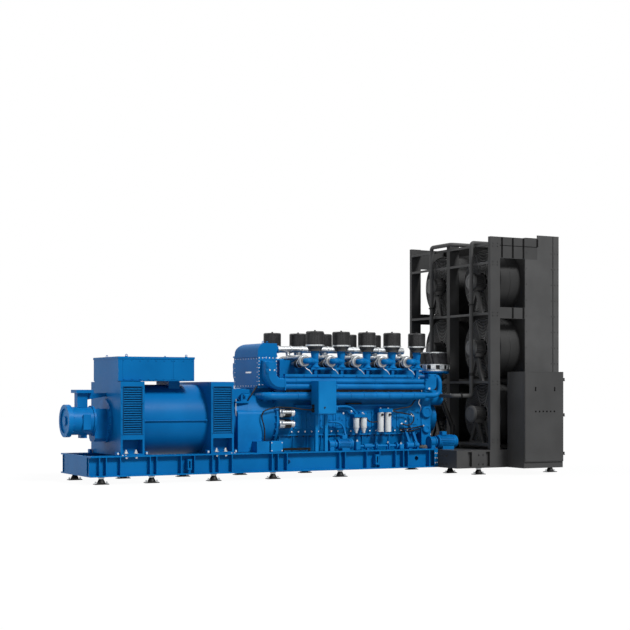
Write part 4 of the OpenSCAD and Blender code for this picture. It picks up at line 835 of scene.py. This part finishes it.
# Junction box on the skid: folded sheet in the control box's blue. Its cover has four bright screws, and
# two plastic glands look to the engine.
cover = [(x, -0.808, z) for x in (-0.362, -0.153) for z in (0.520, 0.665)]
bolts("junction_screws", cover, outward, 0.012, both=False)
bolts("junction_glands", [(-0.1425, -0.740, z) for z in (0.55, 0.62)], to_radiator, 0.030, stoved_black,
      both=False)

# Service pumps: two motors with cast fins, a pressed cowl and a terminal box, each coupled to a small cast
# pump, and all painted blue with the engine.
fins = 24
for name, x, length, z, radius in (("oil_pump", 1.0475, 0.320, 0.610, 0.092),
                                   ("water_pump", 3.2775, 0.420, 0.622, 0.120)):
    axis = Vector((x, -0.71, z))
    begin()
    slab(axis + Vector((0.03, -0.004, radius - 0.004)),
         axis + Vector((length - 0.07, 0.004, radius + 0.012)), 0.001)
    for k in range(fins - 1):
        bpy.ops.mesh.duplicate()
        bpy.ops.transform.rotate(value=math.tau / fins, orient_axis="X", center_override=axis)
    rod(axis + Vector((length - 0.028, 0, 0)), to_radiator, radius + 0.008, 0.060, 0.018, 36)
    slab(axis + Vector((0.09, -0.055, radius)), axis + Vector((0.20, 0.055, radius + 0.075)), 0.008)
    hoop(axis + Vector((-0.060, 0, 0)), "X", 0.82 * radius, 0.020, 0.020, 32)
    hoop(axis + Vector((-0.180, 0, 0)), "X", 0.82 * radius, 0.020, 0.020, 32)
    settle(name + "_fins", blue_casting)

# Priming set: a cast strainer, a small gear pump and its valves in one line along the skid's edge, flanged
# together on three feet. The plated handles stand up.
line_y, line_z = -0.735, 0.565
begin()
slab((1.420, -0.790, 0.490), (1.525, -0.680, 0.655), 0.014)
slab((2.390, -0.790, 0.490), (2.485, -0.690, 0.590), 0.012)
for x, length, radius in ((1.700, 0.180, 0.048), (2.640, 0.150, 0.058), (2.800, 0.080, 0.046),
                          (2.000, 1.000, 0.024)):
    rod((x, line_y, line_z), to_radiator, radius, length, 0.006)
for x in (1.860, 1.890, 2.150, 2.330, 2.560, 2.735):
    hoop((x, line_y, line_z), "X", 0.046, 0.018, 0.044, 28)
for x in (1.700, 2.150, 2.640):
    slab((x - 0.03, -0.760, 0.490), (x + 0.03, -0.710, 0.560), 0.004)
settle("priming_set", blue_casting)
handles = [(1.470, line_y, 0.655), (2.150, line_y, 0.612), (2.437, -0.740, 0.590)]
bolts("priming_handles", handles, upright, 0.030, both=False, stud=0.5)

# Radiator frame: folded steel channels bolted at the joints, with panels at the sides and black strips of
# painted shade in the gaps where they meet. Rows of small bolts in the same black hold the panels.
dress(black_coat, "radiator_posts", "side_girders", "fan_pedestals", "fan_motors")
# The same black powder coat on the large panels, beams and pipes, painted lighter: painted light, so the
# beams and pipes inside the frame read as lit where the frame shades them.
black_coat_painted_light = finish("black_powder_coat_painted_light", ("#505050", "#595959"), 600, 24, 0.35, 0.46, specular=0.12)
dress(black_coat_painted_light, "side_panels", "radiator_beams", "coolant_pipes")
# Black rubber without shine, for the cabinet's handles and buttons; the same black, as strips at the panel
# joints, is painted shade in the gaps, so the joints read as dark lines.
black_rubber_and_gap_shade = finish("black_rubber_and_painted_gap_shade", ("#060606", "#0B0B0B"), 120, 10, 0.3, 0.6, specular=0.1)
# Black strips at the panel joints: painted shade in the gaps between the panels.
begin()
for x, low, high in ((4.288, 4.195, 4.588), (4.545, 4.195, 4.588), (4.801, 4.190, 4.588),
                     (5.136, 4.440, 4.590), (4.545, 3.022, 3.230), (4.801, 3.022, 3.230)):
    slab((x - 0.021, -1.4665, low), (x + 0.021, -1.4625, high), 0.001)
slab((5.512, -1.4665, 0.50), (5.525, -1.4625, 4.660), 0.001)
slab((4.245, -1.4665, 4.425), (5.130, -1.4625, 4.437), 0.001)
far_side()
settle("panel_gaps_painted_shade", black_rubber_and_gap_shade)
post_joints = [(x, -1.463, z + s) for x in (4.075, 4.185) for z in (0.65, 1.77, 3.10, 4.08, 4.44)
               for s in (-0.03, 0.03)]
bolts("post_bolts", post_joints, outward, 0.016, black_coat)
panel_rows = [(x, -1.463, 2.15 + 0.31 * k) for x in (4.870, 5.480, 5.560, 5.640) for k in range(8)]
bolts("side_panel_bolts", panel_rows, outward, 0.011, black_coat)

# Core: flat metal tubes between finned strips, dipped black all over and held at the back by cross bars.
# The fins are too fine to show, so the dip's black is painted deeper still: painted shade for the hollows
# between the fins and the unlit inside of the frame, with hardly any shine.
core_black_and_shade = finish("black_core_painted_shade", ("#050505", "#080808"), 200, 12, 1.0, 0.6, specular=0.1)
dress(core_black_and_shade, "radiator_core")
begin()
slab((5.628, -1.440, 0.490), (5.648, -1.424, 4.590), 0.004)
repeat([(0, 0.0464 * k, 0) for k in range(63)])
settle("core_tubes", core_black_and_shade)
begin()
slab((5.640, -1.443, 0.500), (5.657, 1.443, 0.560), 0.004)
repeat([(0, 0, 0), (0, 0, 1.0), (0, 0, 2.0), (0, 0, 3.0), (0, 0, 4.03)])
settle("core_bars", black_coat)

# Fans: rolled steel rings with a turned lip, guards of wire hoops welded on flat spokes, and moulded nylon
# blades on the motor shafts.
# Rolled steel under a thin black coat, painted darker than the frame's black as painted shade for the inside
# of the frame, with a long soft light round the ring.
shroud_black_painted_shade = finish("black_rolled_steel_painted_shade", ("#303030", "#363636"), 400, 20, 0.3, 0.44, specular=0.15)
dress(shroud_black_painted_shade, "fan_shrouds_near", "fan_shrouds_far")
# Galvanised guard wire: a zinc grey, painted lighter still as painted light, so the thin wires read as lit
# against the dark fans and are greyer than the rings.
guard_wire_painted_light = finish("galvanised_wire_painted_light", ("#7C7C7C", "#888888"), 200, 14, 0.4, 0.4)
dress(guard_wire_painted_light, "fan_guards")
# Glass-filled nylon: dull black, painted darker still as painted shade for the unlit inside of the frame, so
# the blades sink back behind the guards.
fan_blade_painted_shade = finish("nylon_blades_painted_shade", ("#0A0A0A", "#0E0E0E"), 160, 12, 0.4, 0.5, specular=0.12)
dress(fan_blade_painted_shade, *[f"fan_{side}_{row}" for side in ("near", "far") for row in ("low", "mid", "high")])
fans = [(0, y, z) for y in (-0.727, 0.727) for z in (1.157, 2.463, 3.769)]
hub_y, hub_z = fans[0][1:]
begin()
hoop((4.350, hub_y, hub_z), "X", 0.612, 0.016, 0.026, 72, 8)
hoop((4.590, hub_y, hub_z), "X", 0.611, 0.030, 0.010, 72, 6)
repeat(fans)
settle("shroud_lips", shroud_black_painted_shade)
begin()
bpy.ops.mesh.primitive_circle_add(vertices=5, radius=0.0060, rotation=(math.radians(90), 0, 0),
                                  location=(4.336, hub_y, hub_z + 0.195))
repeat([(0, 0, 0.0295 * k) for k in range(14)])
bpy.ops.mesh.select_all(action="SELECT")
bpy.ops.mesh.spin(steps=64, angle=math.tau, center=(4.336, hub_y, hub_z), axis=(1, 0, 0),
                  use_auto_merge=True)
repeat(fans)
settle("guard_wires", guard_wire_painted_light, angle=60)

# Fan motors: ribbed iron frames in black, with a pressed cowl over the cooling fan at the free end and a
# terminal box on the side. The cowls are a lighter grey than the frames.
cowl_grey = finish("grey_cowl_enamel", ("#6A6A6A", "#767676"), 300, 16, 0.3, 0.44, specular=0.15)
begin()
rod((4.080, hub_y, hub_z), to_radiator, 0.164, 0.080, 0.022, 40)
pick(lambda middle, normal: normal.x < -0.99)
bpy.ops.mesh.inset(thickness=0.030, depth=0.0)
bpy.ops.mesh.inset(thickness=0.008, depth=-0.010)
slab((4.150, hub_y + 0.135, hub_z - 0.055), (4.260, hub_y + 0.225, hub_z + 0.055), 0.008)
repeat(fans)
settle("motor_cowls", cowl_grey)

# Coolant pipes: steel pipe in the radiator's black, joined by rubber sleeves and flanges. The return at the
# foot is a rubber hose.
dress(rubber_black, "lower_hose")
begin()
for y in (-0.916, 0.510):
    hoop((3.9475, y, 1.939), "Z", 0.043, 0.060, 0.012, 32)
    hoop((3.9475, y, 3.300), "Z", 0.047, 0.030, 0.024, 32)
hoop((4.450, -0.916, 4.514), "X", 0.047, 0.030, 0.024, 32)
hoop((3.700, -0.916, 1.517), "X", 0.047, 0.030, 0.024, 32)
settle("coolant_couplings", rubber_black)

# Switch cabinet: folded sheet in textured black powder coat. The door has a lip, two swing handles and a
# row of lamps and buttons; inside, a zinc plate carries contactors between cable ducts.
dress(black_coat, "cabinet", "cabinet_door")
begin()
slab((4.430, -2.0265, 0.262), (5.335, -2.0225, 1.968), 0.003)
settle("cabinet_door_skin", black_coat, "cabinet_door")
begin()
for x in (4.669, 5.124):
    slab((x - 0.013, -2.034, 1.606), (x + 0.013, -2.026, 1.686), 0.003)
settle("cabinet_handles", black_rubber_and_gap_shade, "cabinet_door")
begin()
rod((4.673, -2.0305, 1.217), outward, 0.016, 0.008, 0.002, 20)
repeat([(0.0885 * k, 0, 0) for k in range(6)])
settle("cabinet_buttons", black_rubber_and_gap_shade, "cabinet_door")
begin()
slab((4.450, -1.500, 0.420), (5.315, -1.488, 1.930), 0.002)
settle("cabinet_plate", zinc)
begin()
slab((4.490, -1.610, 1.560), (4.580, -1.500, 1.720), 0.006)
repeat([(0.105 * k, 0, -0.36 * j) for j in range(3) for k in range(8)])
settle("cabinet_contactors", filter_black)
begin()
slab((4.460, -1.570, 1.770), (5.305, -1.500, 1.830), 0.003)
repeat([(0, 0, -0.36 * j) for j in range(4)])
settle("cabinet_cable_ducts", white_enamel)
